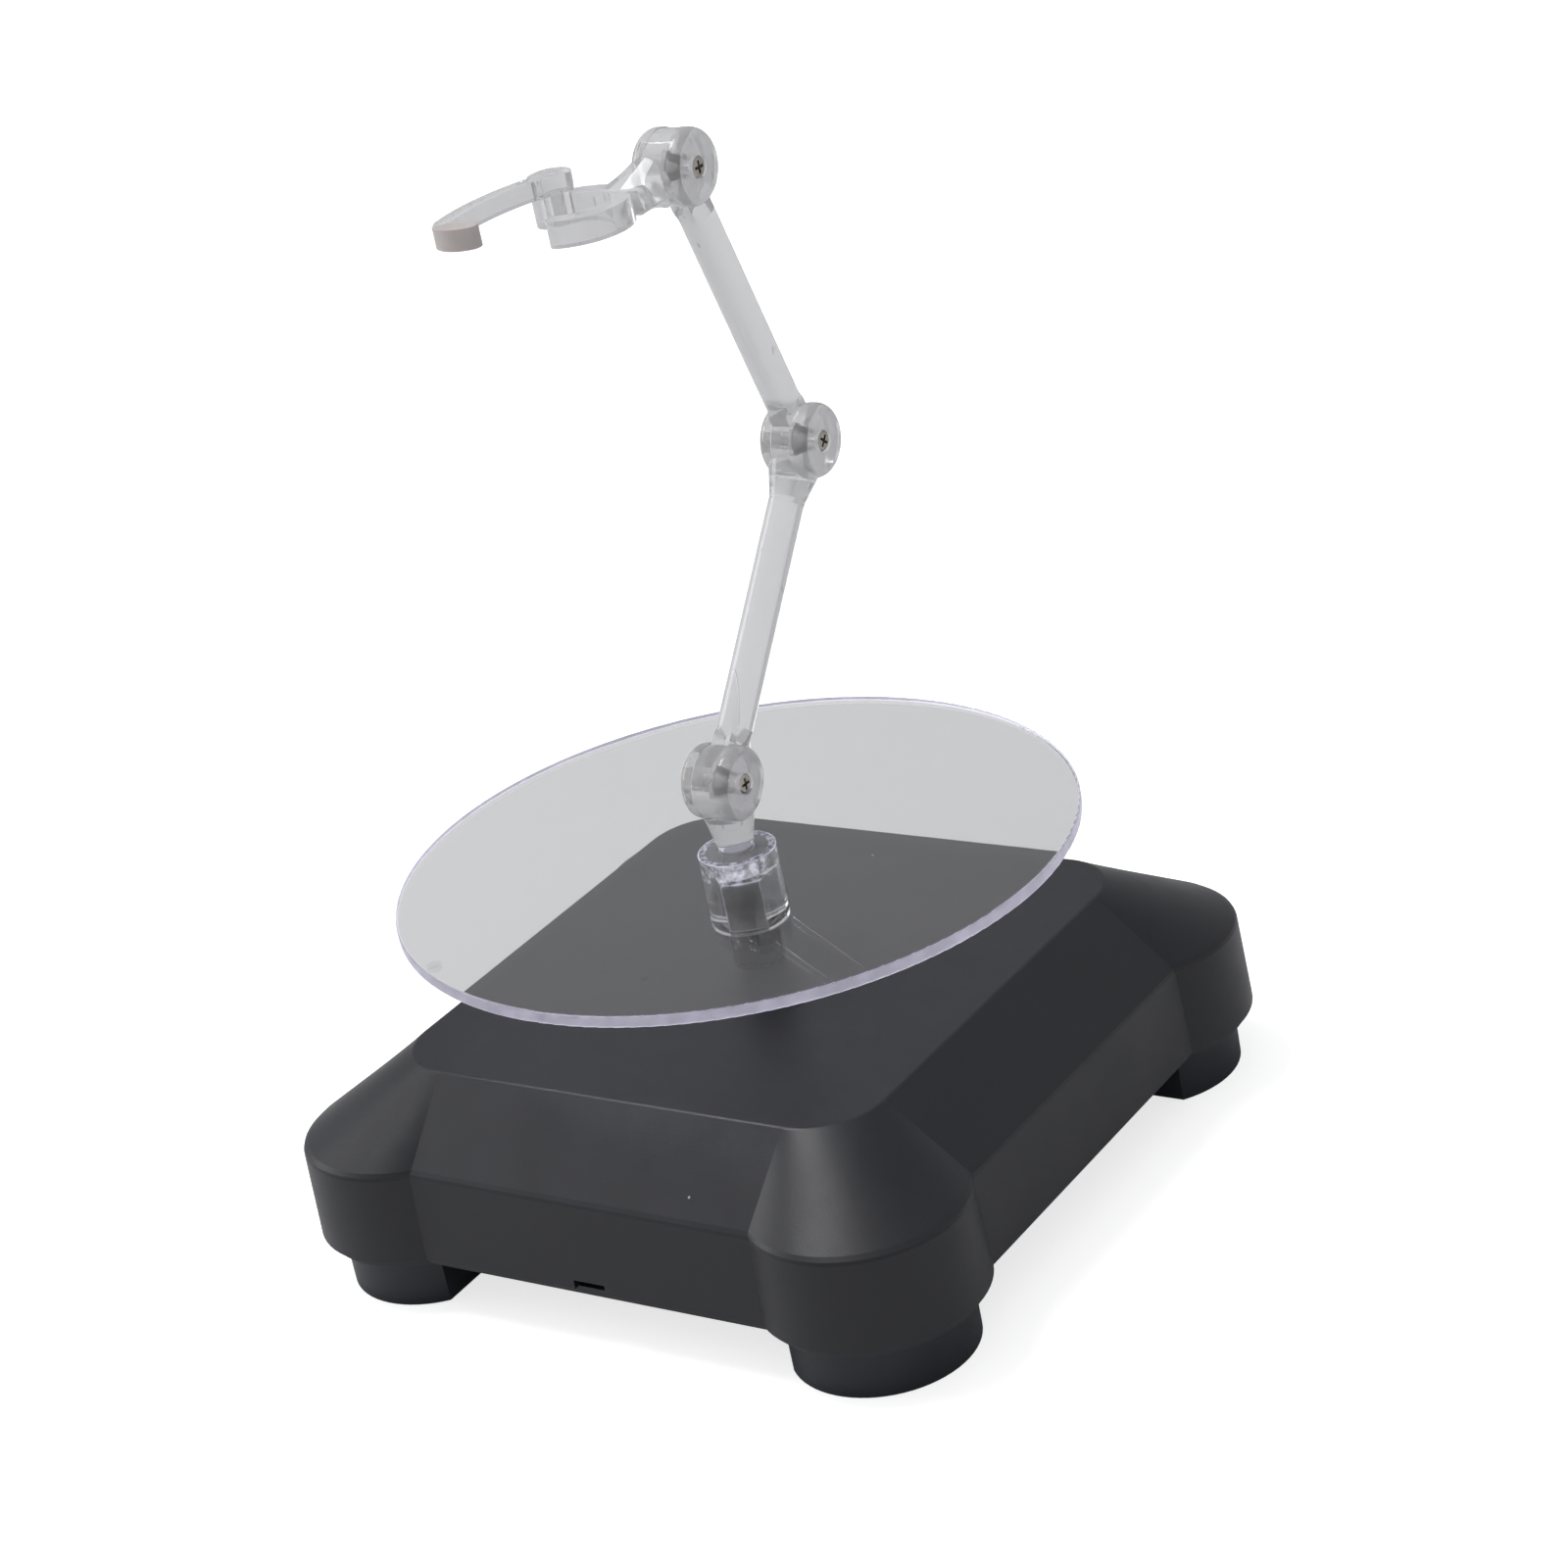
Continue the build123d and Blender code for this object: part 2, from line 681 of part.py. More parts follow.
with BuildPart() as gearbox_lid:
    add(hull_of_circles(lid_circles, lid_low, lid_top))
    for place in lid_pillars:
        add(disc_at(place, tenon_radius, lid_low, lid_top), mode=Mode.SUBTRACT)
    for place in (first_gear_place, second_gear_place):
        add(disc_at(place, axle_radius, lid_low, lid_top), mode=Mode.SUBTRACT)
    for place in gearbox_bosses:
        add(disc_at(place, boss_post_radius + swing_gap, lid_low, lid_top), mode=Mode.SUBTRACT)
    journal = disc_at(spindle_place, spindle_journal_radius + swing_gap, lid_low, lid_top)
    add(journal, mode=Mode.SUBTRACT)
finish(gearbox_lid.part, "gearbox_lid")

with BuildPart() as gearbox_screws:
    for place in gearbox_bosses:
        head_low = plate_low - gearbox_screw_head_height
        add(disc_at(place, gearbox_screw_head_radius, head_low, plate_low))
        add(disc_at(place, screw_radius, plate_low, plate_low + gearbox_screw_length))
finish(gearbox_screws.part, "gearbox_screws")

# -------------------------------------------------------------------- motor

can_wall = 0.8
end_cap_thickness = 2.0
motor_low = plate_low - motor_height
rotor_gap = 1.0
terminal_length = 1.6

with BuildPart() as motor_can:
    add(disc_at(motor_place, motor_radius, motor_low + end_cap_thickness, plate_low))
    bore = disc_at(motor_place, motor_radius - can_wall, motor_low, plate_low - can_wall)
    add(bore, mode=Mode.SUBTRACT)
    shaft_bore = disc_at(motor_place, motor_shaft_radius + running_gap, motor_low, plate_low)
    add(shaft_bore, mode=Mode.SUBTRACT)
    add(disc_at(motor_place, motor_boss_radius - fit_gap, plate_low, plate_low + 0.8))
    boss_bore = disc_at(motor_place, motor_shaft_radius + running_gap, plate_low, plate_top)
    add(boss_bore, mode=Mode.SUBTRACT)
    for place in motor_screw_places:
        bore = disc_at(place, motor_screw_radius, plate_low - can_wall, plate_low)
        add(bore, mode=Mode.SUBTRACT)
finish(motor_can.part, "motor_can")

with BuildPart() as motor_end_cap:
    add(disc_at(motor_place, motor_radius, motor_low, motor_low + end_cap_thickness))
    shaft_bore = disc_at(motor_place, motor_shaft_radius + running_gap, motor_low + 0.8, plate_low)
    add(shaft_bore, mode=Mode.SUBTRACT)
finish(motor_end_cap.part, "motor_end_cap")

with BuildPart() as motor_terminals:
    with BuildSketch(Plane.XY.offset(motor_low + 0.8)):
        for side in (-1, 1):
            reach = motor_radius + terminal_length / 2
            with Locations((motor_place[0] + side * reach, motor_place[1])):
                Rectangle(terminal_length, 1.6)
    extrude(amount=0.4)
    add(disc_at(motor_place, motor_radius, motor_low, plate_low), mode=Mode.SUBTRACT)
finish(motor_terminals.part, "motor_terminals")

with BuildPart() as motor_rotor:
    rotor_low = motor_low + end_cap_thickness + rotor_gap
    rotor_high = plate_low - can_wall - rotor_gap
    add(disc_at(motor_place, motor_radius - can_wall - rotor_gap, rotor_low, rotor_high))
    shaft_top = low_level + gear_face + 0.1
    add(disc_at(motor_place, motor_shaft_radius, motor_low + 0.9, shaft_top))
finish(motor_rotor.part, "motor_rotor")

with BuildPart() as motor_screws:
    for place in motor_screw_places:
        add(disc_at(place, 1.4, plate_top, plate_top + 0.9))
        add(disc_at(place, motor_screw_radius, plate_low - can_wall, plate_top))
finish(motor_screws.part, "motor_screws")

# -------------------------------------------------------------------- leads

lead_radius = 0.6


def lead(points):
    """An insulated wire along straight runs, with an arc as large as its runs allow."""
    corners_of_lead = [Vector(*point) for point in points]
    runs = [b - a for a, b in zip(corners_of_lead, corners_of_lead[1:])]
    bends = []
    for before, after in zip(runs, runs[1:]):
        half_turn = radians(before.get_angle(after)) / 2
        bends.append(0.45 * min(before.length, after.length) / tan(half_turn))
    with BuildPart() as wire:
        with BuildLine():
            FilletPolyline(*corners_of_lead, radius=bends)
        with BuildSketch(Plane(origin=corners_of_lead[0], z_dir=runs[0])):
            Circle(lead_radius)
        sweep()
    return wire.part


pin_top = switch_top + pin_height
terminal_reach = motor_radius + terminal_length
terminal_z = motor_low + 1.0
motor_x, motor_y = motor_place
red_y = bay_centre_y + lead_hole_shift
black_y = bay_centre_y - lead_hole_shift

finish(
    lead(
        [
            (-bay_half_x, red_y, lead_hole_height),
            (-bay_half_x - 8.0, red_y, lead_hole_height),
            (switch_x - 1.5, red_y - 14.0, lead_hole_height - 0.5),
            (switch_x, switch_y + pin_pitch, pin_top + 4.5),
            (switch_x, switch_y + pin_pitch, pin_top),
        ]
    ),
    "red_lead",
)
finish(
    lead(
        [
            (switch_x, switch_y, pin_top),
            (switch_x, switch_y, pin_top + 4.0),
            (switch_x + 9.0, switch_y - 3.0, pin_top + 1.5),
            (motor_x - terminal_reach - 10.0, motor_y, terminal_z + 1.0),
            (motor_x - terminal_reach - 5.0, motor_y, terminal_z),
            (motor_x - terminal_reach, motor_y, terminal_z),
        ]
    ),
    "switch_lead",
)
finish(
    lead(
        [
            (bay_half_x, black_y, lead_hole_height),
            (bay_half_x + 6.0, black_y, lead_hole_height),
            (bay_half_x + 9.0, black_y - 12.0, lead_hole_height - 2.0),
            (motor_x + terminal_reach + 10.0, motor_y + 6.0, terminal_z + 2.5),
            (motor_x + terminal_reach + 6.0, motor_y, terminal_z),
            (motor_x + terminal_reach, motor_y, terminal_z),
        ]
    ),
    "black_lead",
)

# ------------------------------------------------------- spindle, hub and disc

with BuildPart() as spindle_bush:
    add(disc_at(spindle_place, bush_flange_radius, top_underside - bush_flange, top_underside))
    add(disc_at(spindle_place, bush_radius, top_underside, top_height))
    journal_radius = spindle_journal_radius + running_gap
    journal = disc_at(spindle_place, journal_radius, top_underside - bush_flange, top_height)
    add(journal, mode=Mode.SUBTRACT)
finish(spindle_bush.part, "spindle_bush")

peg_turn = 27.0
spindle_rise = 0.25  # between the base's roof and the spindle's shoulder
shoulder_low = top_height + spindle_rise
with BuildPart() as spindle:
    add(disc_at(spindle_place, spindle_tip_radius, plate_low, plate_top + fit_gap))
    add(disc_at(spindle_place, spindle_stem_radius, plate_top + fit_gap, lid_low))
    add(disc_at(spindle_place, spindle_journal_radius, lid_low, shoulder_low))
    add(disc_at(spindle_place, spindle_radius, shoulder_low, spindle_shoulder))
    with BuildSketch(Plane.XY.offset(spindle_shoulder)):
        Rectangle(peg_side, peg_side, rotation=peg_turn)
    extrude(amount=peg_top - spindle_shoulder)
    chamfer(spindle.faces().sort_by(Axis.Z)[-1].edges(), 0.4)
finish(spindle.part, "spindle")

with BuildPart() as hub:
    add(disc_at(spindle_place, hub_radius, spindle_shoulder, hub_top))
    fillet(hub.faces().sort_by(Axis.Z)[0].edges(), 0.4)
    with BuildSketch(Plane.XY.offset(spindle_shoulder)):
        socket = peg_side + 2 * socket_gap
        Rectangle(socket, socket, rotation=peg_turn)
    extrude(amount=peg_top + 2 * socket_gap - spindle_shoulder, mode=Mode.SUBTRACT)
    stem_bore = stem_peg_radius + running_gap
    bore = disc_at(spindle_place, stem_bore, stem_peg_low - fit_gap, hub_top)
    add(bore, mode=Mode.SUBTRACT)
finish(hub.part, "hub")

with BuildPart() as disc:
    add(disc_at(spindle_place, disc_diameter / 2, hub_top, disc_top))
    rims = disc.edges().filter_by(GeomType.CIRCLE)
    fillet(rims, 0.3)
    add(disc_at(spindle_place, stem_bore, hub_top, disc_top), mode=Mode.SUBTRACT)
finish(disc.part, "disc")

# ------------------------------------------------------------------ arm pieces

ear_outer = knuckle_width / 2
recess_depth = screw_head_height + 0.1
nut_depth = nut_height
tongue_radius = knuckle_radius - 0.1
root_rise = 2.8  # a fork's root is widest this far from its hinge
root_half = 4.4
blend_start = knuckle_radius + swing_gap
blend_end = blend_start + 2.0


def across(hinge):
    """The plane square to a hinge's axis, at its middle; hinge planes have X as that axis."""
    return Plane(origin=hinge.origin, x_dir=hinge.y_dir, z_dir=hinge.x_dir)


def barrel(hinge):
    with BuildPart() as piece:
        with BuildSketch(across(hinge)):
            Circle(knuckle_radius)
        extrude(amount=ear_outer, both=True)
        fillet(piece.edges(), edge_round)
    return piece.part


def fork_cuts(hinge):
    """What a fork leaves out: the tongue's slot, the screw's hole and its two recesses."""
    side = across(hinge)
    with BuildPart() as cuts:
        with BuildSketch(side):
            Circle(tongue_radius + swing_gap)
            with Locations((0, knuckle_radius + swing_gap)):
                Rectangle(2 * (tongue_radius + swing_gap), 2 * (knuckle_radius + swing_gap))
        extrude(amount=slot_half, both=True)
        with BuildSketch(side):
            Circle(screw_radius + fit_gap)
        extrude(amount=ear_outer + 1, both=True)
        with BuildSketch(side.offset(ear_outer - recess_depth)):
            Circle(screw_head_radius + fit_gap)
        extrude(amount=recess_depth + 1)
        with BuildSketch(side.offset(-ear_outer + nut_depth)):
            RegularPolygon(nut_width / 2 + fit_gap, 6, major_radius=False)
        extrude(amount=-nut_depth - 1)
    return cuts.part


def fork(hinge, reach):
    """A barrel whose root draws in to a round neck, reach away along the plane's -Z."""
    with BuildPart() as piece:
        add(barrel(hinge))
        with BuildSketch(hinge.offset(-root_rise)):
            Ellipse(ear_outer, root_half)
        with BuildSketch(hinge.offset(-reach)):
            Circle(rod_radius)
        loft()
        add(fork_cuts(hinge), mode=Mode.SUBTRACT)
    return piece.part


def tongue(hinge):
    """A flat eye about the hinge that swells to the round rod along the plane's +Z."""
    side = across(hinge)
    with BuildPart() as piece:
        with BuildSketch(side):
            Circle(tongue_radius)
            with Locations((0, blend_start / 2)):
                Rectangle(2 * rod_radius, blend_start)
        extrude(amount=tongue_width / 2, both=True)
        with BuildSketch(hinge.offset(blend_start)):
            Rectangle(tongue_width, 2 * rod_radius)
        with BuildSketch(hinge.offset(blend_end)):
            Circle(rod_radius)
        loft()
        with BuildSketch(side):
            Circle(screw_radius + running_gap)
        extrude(amount=tongue_width, both=True, mode=Mode.SUBTRACT)
    return piece.part


def rod(hinge, start, end):
    with BuildPart() as piece:
        with BuildSketch(hinge.offset(start)):
            Circle(rod_radius)
        extrude(amount=end - start)
    return piece.part


def hinge_screw(hinge):
    """A cross-head screw with its head at the +X ear."""
    side = across(hinge)
    head_seat = ear_outer - recess_depth
    with BuildPart() as screw:
        with BuildSketch(side.offset(-ear_outer + 0.2)):
            Circle(screw_radius)
        extrude(amount=head_seat + ear_outer - 0.2)
        with BuildSketch(side.offset(head_seat)):
            Circle(screw_head_radius)
        extrude(amount=screw_head_height)
        head_rim = screw.edges().filter_by(GeomType.CIRCLE).sort_by(Axis.X)[-1]
        fillet(head_rim, 0.4)
        with BuildSketch(side.offset(ear_outer)):
            Rectangle(1.9, 0.45)
            Rectangle(0.45, 1.9)
        extrude(amount=-recess_depth + 0.5, mode=Mode.SUBTRACT)
    return screw.part


def hinge_nut(hinge):
    side = across(hinge)
    with BuildPart() as nut:
        with BuildSketch(side.offset(-ear_outer)):
            RegularPolygon(nut_width / 2, 6, major_radius=False)
            Circle(screw_radius, mode=Mode.SUBTRACT)
        extrude(amount=nut_height)
    return nut.part


stem_hinge = Plane(origin=lower_hinge, x_dir=(1, 0, 0), z_dir=(0, 0, 1))
lower_start = Plane(origin=lower_hinge, x_dir=(1, 0, 0), z_dir=lower_direction)
elbow_fork = Plane(origin=elbow, x_dir=(1, 0, 0), z_dir=lower_direction)
upper_start = Plane(origin=elbow, x_dir=(1, 0, 0), z_dir=upper_direction)
upper_end = Plane(origin=wrist, x_dir=(1, 0, 0), z_dir=-upper_direction)
claw_hinge = Plane(origin=wrist, x_dir=(1, 0, 0), z_dir=(0, 1, 0))

with BuildPart() as stem:
    add(fork(stem_hinge, lower_hinge_height - disc_top - fit_gap))
    stem_foot = disc_at(spindle_place, rod_radius, disc_top, disc_top + fit_gap)
    add(stem_foot)
    add(disc_at(spindle_place, stem_peg_radius, stem_peg_low, disc_top))
finish(stem.part, "stem")

with BuildPart() as lower_arm:
    add(tongue(lower_start))
    add(rod(lower_start, blend_end, lower_arm_length - neck_reach))
    add(fork(elbow_fork, neck_reach))
finish(lower_arm.part, "lower_arm")

with BuildPart() as upper_arm:
    add(tongue(upper_start))
    add(rod(upper_start, blend_end, upper_arm_length - blend_end))
    add(tongue(upper_end))
finish(upper_arm.part, "upper_arm")

for joint_name, hinge in (("lower", stem_hinge), ("elbow", elbow_fork), ("wrist", claw_hinge)):
    finish(hinge_screw(hinge), f"{joint_name}_screw")
    finish(hinge_nut(hinge), f"{joint_name}_nut")

# ------------------------------------------------------------------------ claw

jaw_top = wrist.Z
claw_split = jaw_top + eye_rise  # the finger lies above this level
ring_middle = (ring_inner + ring_outer) / 2
ring_centre = (wrist.X + ring_offset_x, wrist.Y + ring_offset_y)
pivot = polar_from(ring_centre, ring_middle, pivot_angle)
jaw_low = jaw_top - jaw_height
root_end = 9.6  # where the root meets the ring, from the hinge
root_left = -7.4
root_right = 1.0
root_step = 0.4  # the root is this much thinner than the ring it meets


def ring_sector(low, high):
    """The open ring of the jaw, from its tip round to the finger's pivot."""
    open_angles = (pivot_angle, (pivot_angle + jaw_tip_angle + 360) / 2, jaw_tip_angle + 360)
    mouth = [polar_from(ring_centre, 3 * ring_outer, angle) for angle in open_angles]
    ring_width = ring_outer - ring_inner
    with BuildPart() as sector:
        with BuildSketch(Plane.XY.offset(low)):
            with Locations(ring_centre):
                Circle(ring_outer)
                Circle(ring_inner, mode=Mode.SUBTRACT)
            Polygon(ring_centre, *mouth, align=None, mode=Mode.SUBTRACT)
            with Locations(pivot, polar_from(ring_centre, ring_middle, jaw_tip_angle)):
                Circle(ring_width / 2)
            with Locations(pivot):
                Circle(pivot_radius)
        extrude(amount=high - low)
    return sector.part


with BuildPart() as claw_body:
    # the root narrows from the barrel to the flat jaw
    with BuildSketch(claw_hinge.offset(-root_rise)):
        Ellipse(ear_outer, root_half)
    with BuildSketch(claw_hinge.offset(-root_end)):
        with Locations(((root_left + root_right) / 2, jaw_height / 2)):
            RectangleRounded(root_right - root_left, jaw_height - root_step, 1.0)
    loft()
    add(barrel(claw_hinge))
    add(ring_sector(jaw_low, jaw_top))
    add(disc_at(pivot, pivot_radius, jaw_top, claw_split))
    # the throat stays open right through the root
    with BuildSketch(Plane.XY.offset(jaw_low - cut_over)):
        with Locations(ring_centre):
            Circle(ring_inner)
    extrude(amount=jaw_height + finger_height + cut_over, mode=Mode.SUBTRACT)
    add(fork_cuts(claw_hinge), mode=Mode.SUBTRACT)
    pin_bore = pivot_pin_radius + running_gap
    add(disc_at(pivot, pin_bore, jaw_low, claw_split), mode=Mode.SUBTRACT)
    finger_sweep = disc_at(pivot, pivot_radius + swing_gap, claw_split, wrist.Z + knuckle_radius)
    add(finger_sweep, mode=Mode.SUBTRACT)
finish(claw_body.part, "claw_body")

finger_low = claw_split + finger_gap
finger_bend = (wrist.X - 15.6, wrist.Y - 20.6)
finger_turn = (wrist.X - 15.8, wrist.Y - 31.0)
finger_end = (wrist.X - 10.2, wrist.Y - 33.4)


def finger_plan(width, whole):
    """The finger from above; the end alone is what its soft sleeve covers."""
    with BuildSketch() as plan:
        with BuildLine(mode=Mode.PRIVATE) as arm:
            ThreePointArc(pivot, finger_bend, finger_turn)
        with BuildLine(mode=Mode.PRIVATE) as hook:
            TangentArc(finger_turn, finger_end, tangent=arm.line % 1)
        if whole:
            trace(arm.line, width)
            trace(hook.line, width)
        else:
            trace(hook.edge().trim(pad_start, 1), width)
        with Locations(finger_end):
            Circle(width / 2)
    return plan.sketch


with BuildPart() as claw_finger:
    with BuildSketch(Plane.XY.offset(finger_low)):
        add(finger_plan(finger_width, True))
        with Locations(pivot):
            Circle(pivot_radius)
        with Locations(ring_centre):
            Circle(ring_inner, mode=Mode.SUBTRACT)
    extrude(amount=finger_height)
    add(disc_at(pivot, pivot_pin_radius, jaw_low + fit_gap, finger_low))
finish(claw_finger.part, "claw_finger")

with BuildPart() as fingertip_pad:
    with BuildSketch(Plane.XY.offset(finger_low - pad_thickness)):
        add(finger_plan(finger_width + 2 * pad_thickness, False))
    extrude(amount=finger_height + 2 * pad_thickness)
    add(claw_finger.part, mode=Mode.SUBTRACT)
finish(fingertip_pad.part, "fingertip_pad")
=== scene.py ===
import bpy
from math import cos, pi, radians, sin
from mathutils import Matrix, Vector, noise


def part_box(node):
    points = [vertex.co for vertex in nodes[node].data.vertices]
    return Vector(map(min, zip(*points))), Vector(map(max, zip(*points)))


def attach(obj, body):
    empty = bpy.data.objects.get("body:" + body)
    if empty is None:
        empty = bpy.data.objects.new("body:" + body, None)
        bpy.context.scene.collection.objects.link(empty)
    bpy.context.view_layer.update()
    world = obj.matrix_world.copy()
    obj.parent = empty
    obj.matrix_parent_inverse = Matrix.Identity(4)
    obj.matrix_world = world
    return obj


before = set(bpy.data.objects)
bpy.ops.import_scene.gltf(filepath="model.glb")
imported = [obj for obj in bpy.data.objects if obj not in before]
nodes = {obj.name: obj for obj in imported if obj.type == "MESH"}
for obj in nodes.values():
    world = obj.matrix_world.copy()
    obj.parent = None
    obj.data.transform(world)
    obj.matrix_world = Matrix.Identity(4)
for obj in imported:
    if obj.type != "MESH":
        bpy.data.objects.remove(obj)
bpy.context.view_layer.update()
MM = 0.001

# ------------------------------------------------------------------------- camera
# The stand is seen from its front right corner, from a little above, with the camera
# rolled so that the base leans. The camera aims at a point above the base's centre.
view_azimuth = radians(37.798)
view_elevation = radians(23.93)
view_roll = radians(-11.635)
aim_point = Vector((-19.617, 39.197, 41.202)) * MM
aim_distance = 597.609 * MM

backward = Vector(
    (
        sin(view_azimuth) * cos(view_elevation),
        -cos(view_azimuth) * cos(view_elevation),
        sin(view_elevation),
    )
)
level_right = Vector((cos(view_azimuth), sin(view_azimuth), 0))
level_up = backward.cross(level_right)
camera_right = level_right * cos(view_roll) + level_up * sin(view_roll)
camera_up = level_up * cos(view_roll) - level_right * sin(view_roll)
camera_data = bpy.data.cameras.new("camera")
camera_data.lens = 88.48
camera_data.sensor_width = 36.0
camera = bpy.data.objects.new("camera", camera_data)
camera.matrix_world = Matrix.Translation(aim_point + backward * aim_distance) @ Matrix(
    (camera_right, camera_up, backward)
).transposed().to_4x4()
bpy.context.scene.collection.objects.link(camera)
bpy.context.scene.camera = camera


# ------------------------------------------------------------------ base mouldings
# Top shell, bottom cover, feet, battery box and its door: black ABS, injection moulded
# with a fine matt grain. Four screws through the feet hold the cover and shell together.


def new_material(name):
    """An empty node material; returns it with its node tree and its output node."""
    made = bpy.data.materials.new(name)
    made.use_nodes = True
    made.node_tree.nodes.clear()
    output = made.node_tree.nodes.new("ShaderNodeOutputMaterial")
    return made, made.node_tree, output


def node(tree, kind, inputs=None, **settings):
    """Add a node, set its attributes and link or set its inputs."""
    made = tree.nodes.new(kind)
    for key, value in settings.items():
        setattr(made, key, value)
    for key, value in (inputs or {}).items():
        if isinstance(value, bpy.types.NodeSocket):
            tree.links.new(value, made.inputs[key])
        else:
            made.inputs[key].default_value = value
    return made


def new_group(name, inputs, outputs):
    """A node group with float inputs (name, value) and outputs (name, socket type)."""
    tree = bpy.data.node_groups.new(name, "ShaderNodeTree")
    for label, value in inputs:
        made = tree.interface.new_socket(label, in_out="INPUT", socket_type="NodeSocketFloat")
        made.default_value = value
    for label, kind in outputs:
        tree.interface.new_socket(label, in_out="OUTPUT", socket_type=kind)
    return tree, tree.nodes.new("NodeGroupInput"), tree.nodes.new("NodeGroupOutput")


def use_group(tree, group, **inputs):
    made = tree.nodes.new("ShaderNodeGroup")
    made.node_tree = group
    for key, value in inputs.items():
        made.inputs[key].default_value = value
    return made


def own_space(tree):
    """Coordinates fixed to the piece, in metres."""
    return node(tree, "ShaderNodeTexCoord").outputs["Object"]


def ramp(tree, value, low, high, to_low=0.0, to_high=1.0):
    return node(
        tree,
        "ShaderNodeMapRange",
        {"Value": value, "From Min": low, "From Max": high, "To Min": to_low, "To Max": to_high},
    ).outputs["Result"]


def mix_colours(tree, factor, first, second):
    return node(
        tree, "ShaderNodeMix", {0: factor, 6: first, 7: second}, data_type="RGBA"
    ).outputs[2]


def finish_node(name, made):
    """Give a CAD node its finished material."""
    slots = nodes[name].data.materials
    slots.clear()
    slots.append(made)


# moulded grain: a fine pebble over soft, broad unevenness
grain, grain_in, grain_out = new_group(
    "moulded_grain",
    [("Pebble", 3600.0), ("Cloud", 90.0)],
    [("Height", "NodeSocketFloat"), ("Cloud", "NodeSocketFloat")],
)
place = own_space(grain)
pebble = node(grain, "ShaderNodeTexNoise", {"Vector": place, "Detail": 3.0, "Roughness": 0.6})
grain.links.new(grain_in.outputs["Pebble"], pebble.inputs["Scale"])
cloud = node(grain, "ShaderNodeTexNoise", {"Vector": place, "Detail": 4.0, "Roughness": 0.55})
grain.links.new(grain_in.outputs["Cloud"], cloud.inputs["Scale"])
grain.links.new(pebble.outputs["Fac"], grain_out.inputs["Height"])
grain.links.new(cloud.outputs["Fac"], grain_out.inputs["Cloud"])

# edge mask: where a rounded copy of the surface turns away from the true one. It marks rubbed wear on most
# pieces and a painted glow on the hub's rims
edges, edges_in, edges_out = new_group(
    "edge_wear_and_glow", [("Width", 0.0003)], [("Mask", "NodeSocketFloat")]
)
rounded = node(edges, "ShaderNodeBevel", samples=4)
edges.links.new(edges_in.outputs["Width"], rounded.inputs["Radius"])
sharp = node(edges, "ShaderNodeNewGeometry")
alike = node(
    edges,
    "ShaderNodeVectorMath",
    {0: rounded.outputs["Normal"], 1: sharp.outputs["Normal"]},
    operation="DOT_PRODUCT",
)
edge_turn = ramp(edges, alike.outputs["Value"], 0.995, 0.80)
patchy = node(edges, "ShaderNodeTexNoise", {"Vector": own_space(edges), "Scale": 260.0, "Detail": 3.0})
edge_share = node(
    edges,
    "ShaderNodeMath",
    {0: edge_turn, 1: ramp(edges, patchy.outputs["Fac"], 0.35, 0.7)},
    operation="MULTIPLY",
)
edges.links.new(edge_share.outputs[0], edges_out.inputs["Mask"])

# dust: a few pale specks, only on what faces up
dust, dust_in, dust_out = new_group(
    "settled_dust", [("Spacing", 150.0), ("Size", 0.03)], [("Mask", "NodeSocketFloat")]
)
specks = node(dust, "ShaderNodeTexVoronoi", {"Vector": own_space(dust), "Randomness": 1.0})
dust.links.new(dust_in.outputs["Spacing"], specks.inputs["Scale"])
speck_edge = node(
    dust, "ShaderNodeMath", {0: specks.outputs["Distance"]}, operation="LESS_THAN"
)
dust.links.new(dust_in.outputs["Size"], speck_edge.inputs[1])
rare = node(dust, "ShaderNodeSeparateColor", {0: specks.outputs["Color"]})
chosen = node(dust, "ShaderNodeMath", {0: rare.outputs[0], 1: 0.72}, operation="GREATER_THAN")
face_up = node(dust, "ShaderNodeSeparateXYZ", {0: node(dust, "ShaderNodeNewGeometry").outputs["Normal"]})
seen = node(dust, "ShaderNodeMath", {0: speck_edge.outputs[0], 1: chosen.outputs[0]}, operation="MULTIPLY")
upward = node(
    dust,
    "ShaderNodeMath",
    {0: seen.outputs[0], 1: ramp(dust, face_up.outputs["Z"], 0.2, 0.5)},
    operation="MULTIPLY",
)
dust.links.new(upward.outputs[0], dust_out.inputs["Mask"])


def moulded_plastic(name, colour, worn_colour, roughness, pebble=3600.0, bump=0.22, dusty=0.0):
    """An opaque moulded plastic with grain, rubbed edges and a little dust."""
    made, tree, output = new_material(name)
    texture = use_group(tree, grain, Pebble=pebble)
    wear = use_group(tree, edges)
    broad = ramp(tree, texture.outputs["Cloud"], 0.3, 0.7)
    darker = tuple(c * 0.82 for c in colour[:3]) + (1.0,)
    body = mix_colours(tree, broad, darker, colour)
    body = mix_colours(tree, wear.outputs["Mask"], body, worn_colour)
    if dusty:
        settled = use_group(tree, dust, Size=dusty)
        body = mix_colours(tree, settled.outputs["Mask"], body, (0.42, 0.41, 0.40, 1.0))
    shine = ramp(tree, texture.outputs["Cloud"], 0.3, 0.7, roughness - 0.04, roughness + 0.05)
    relief = node(
        tree,
        "ShaderNodeBump",
        {"Strength": bump, "Distance": 0.00006, "Height": texture.outputs["Height"]},
    )
    surface = node(
        tree,
        "ShaderNodeBsdfPrincipled",
        {"Base Color": body, "Roughness": shine, "Normal": relief.outputs["Normal"]},
    )
    tree.links.new(surface.outputs[0], output.inputs["Surface"])
    return made


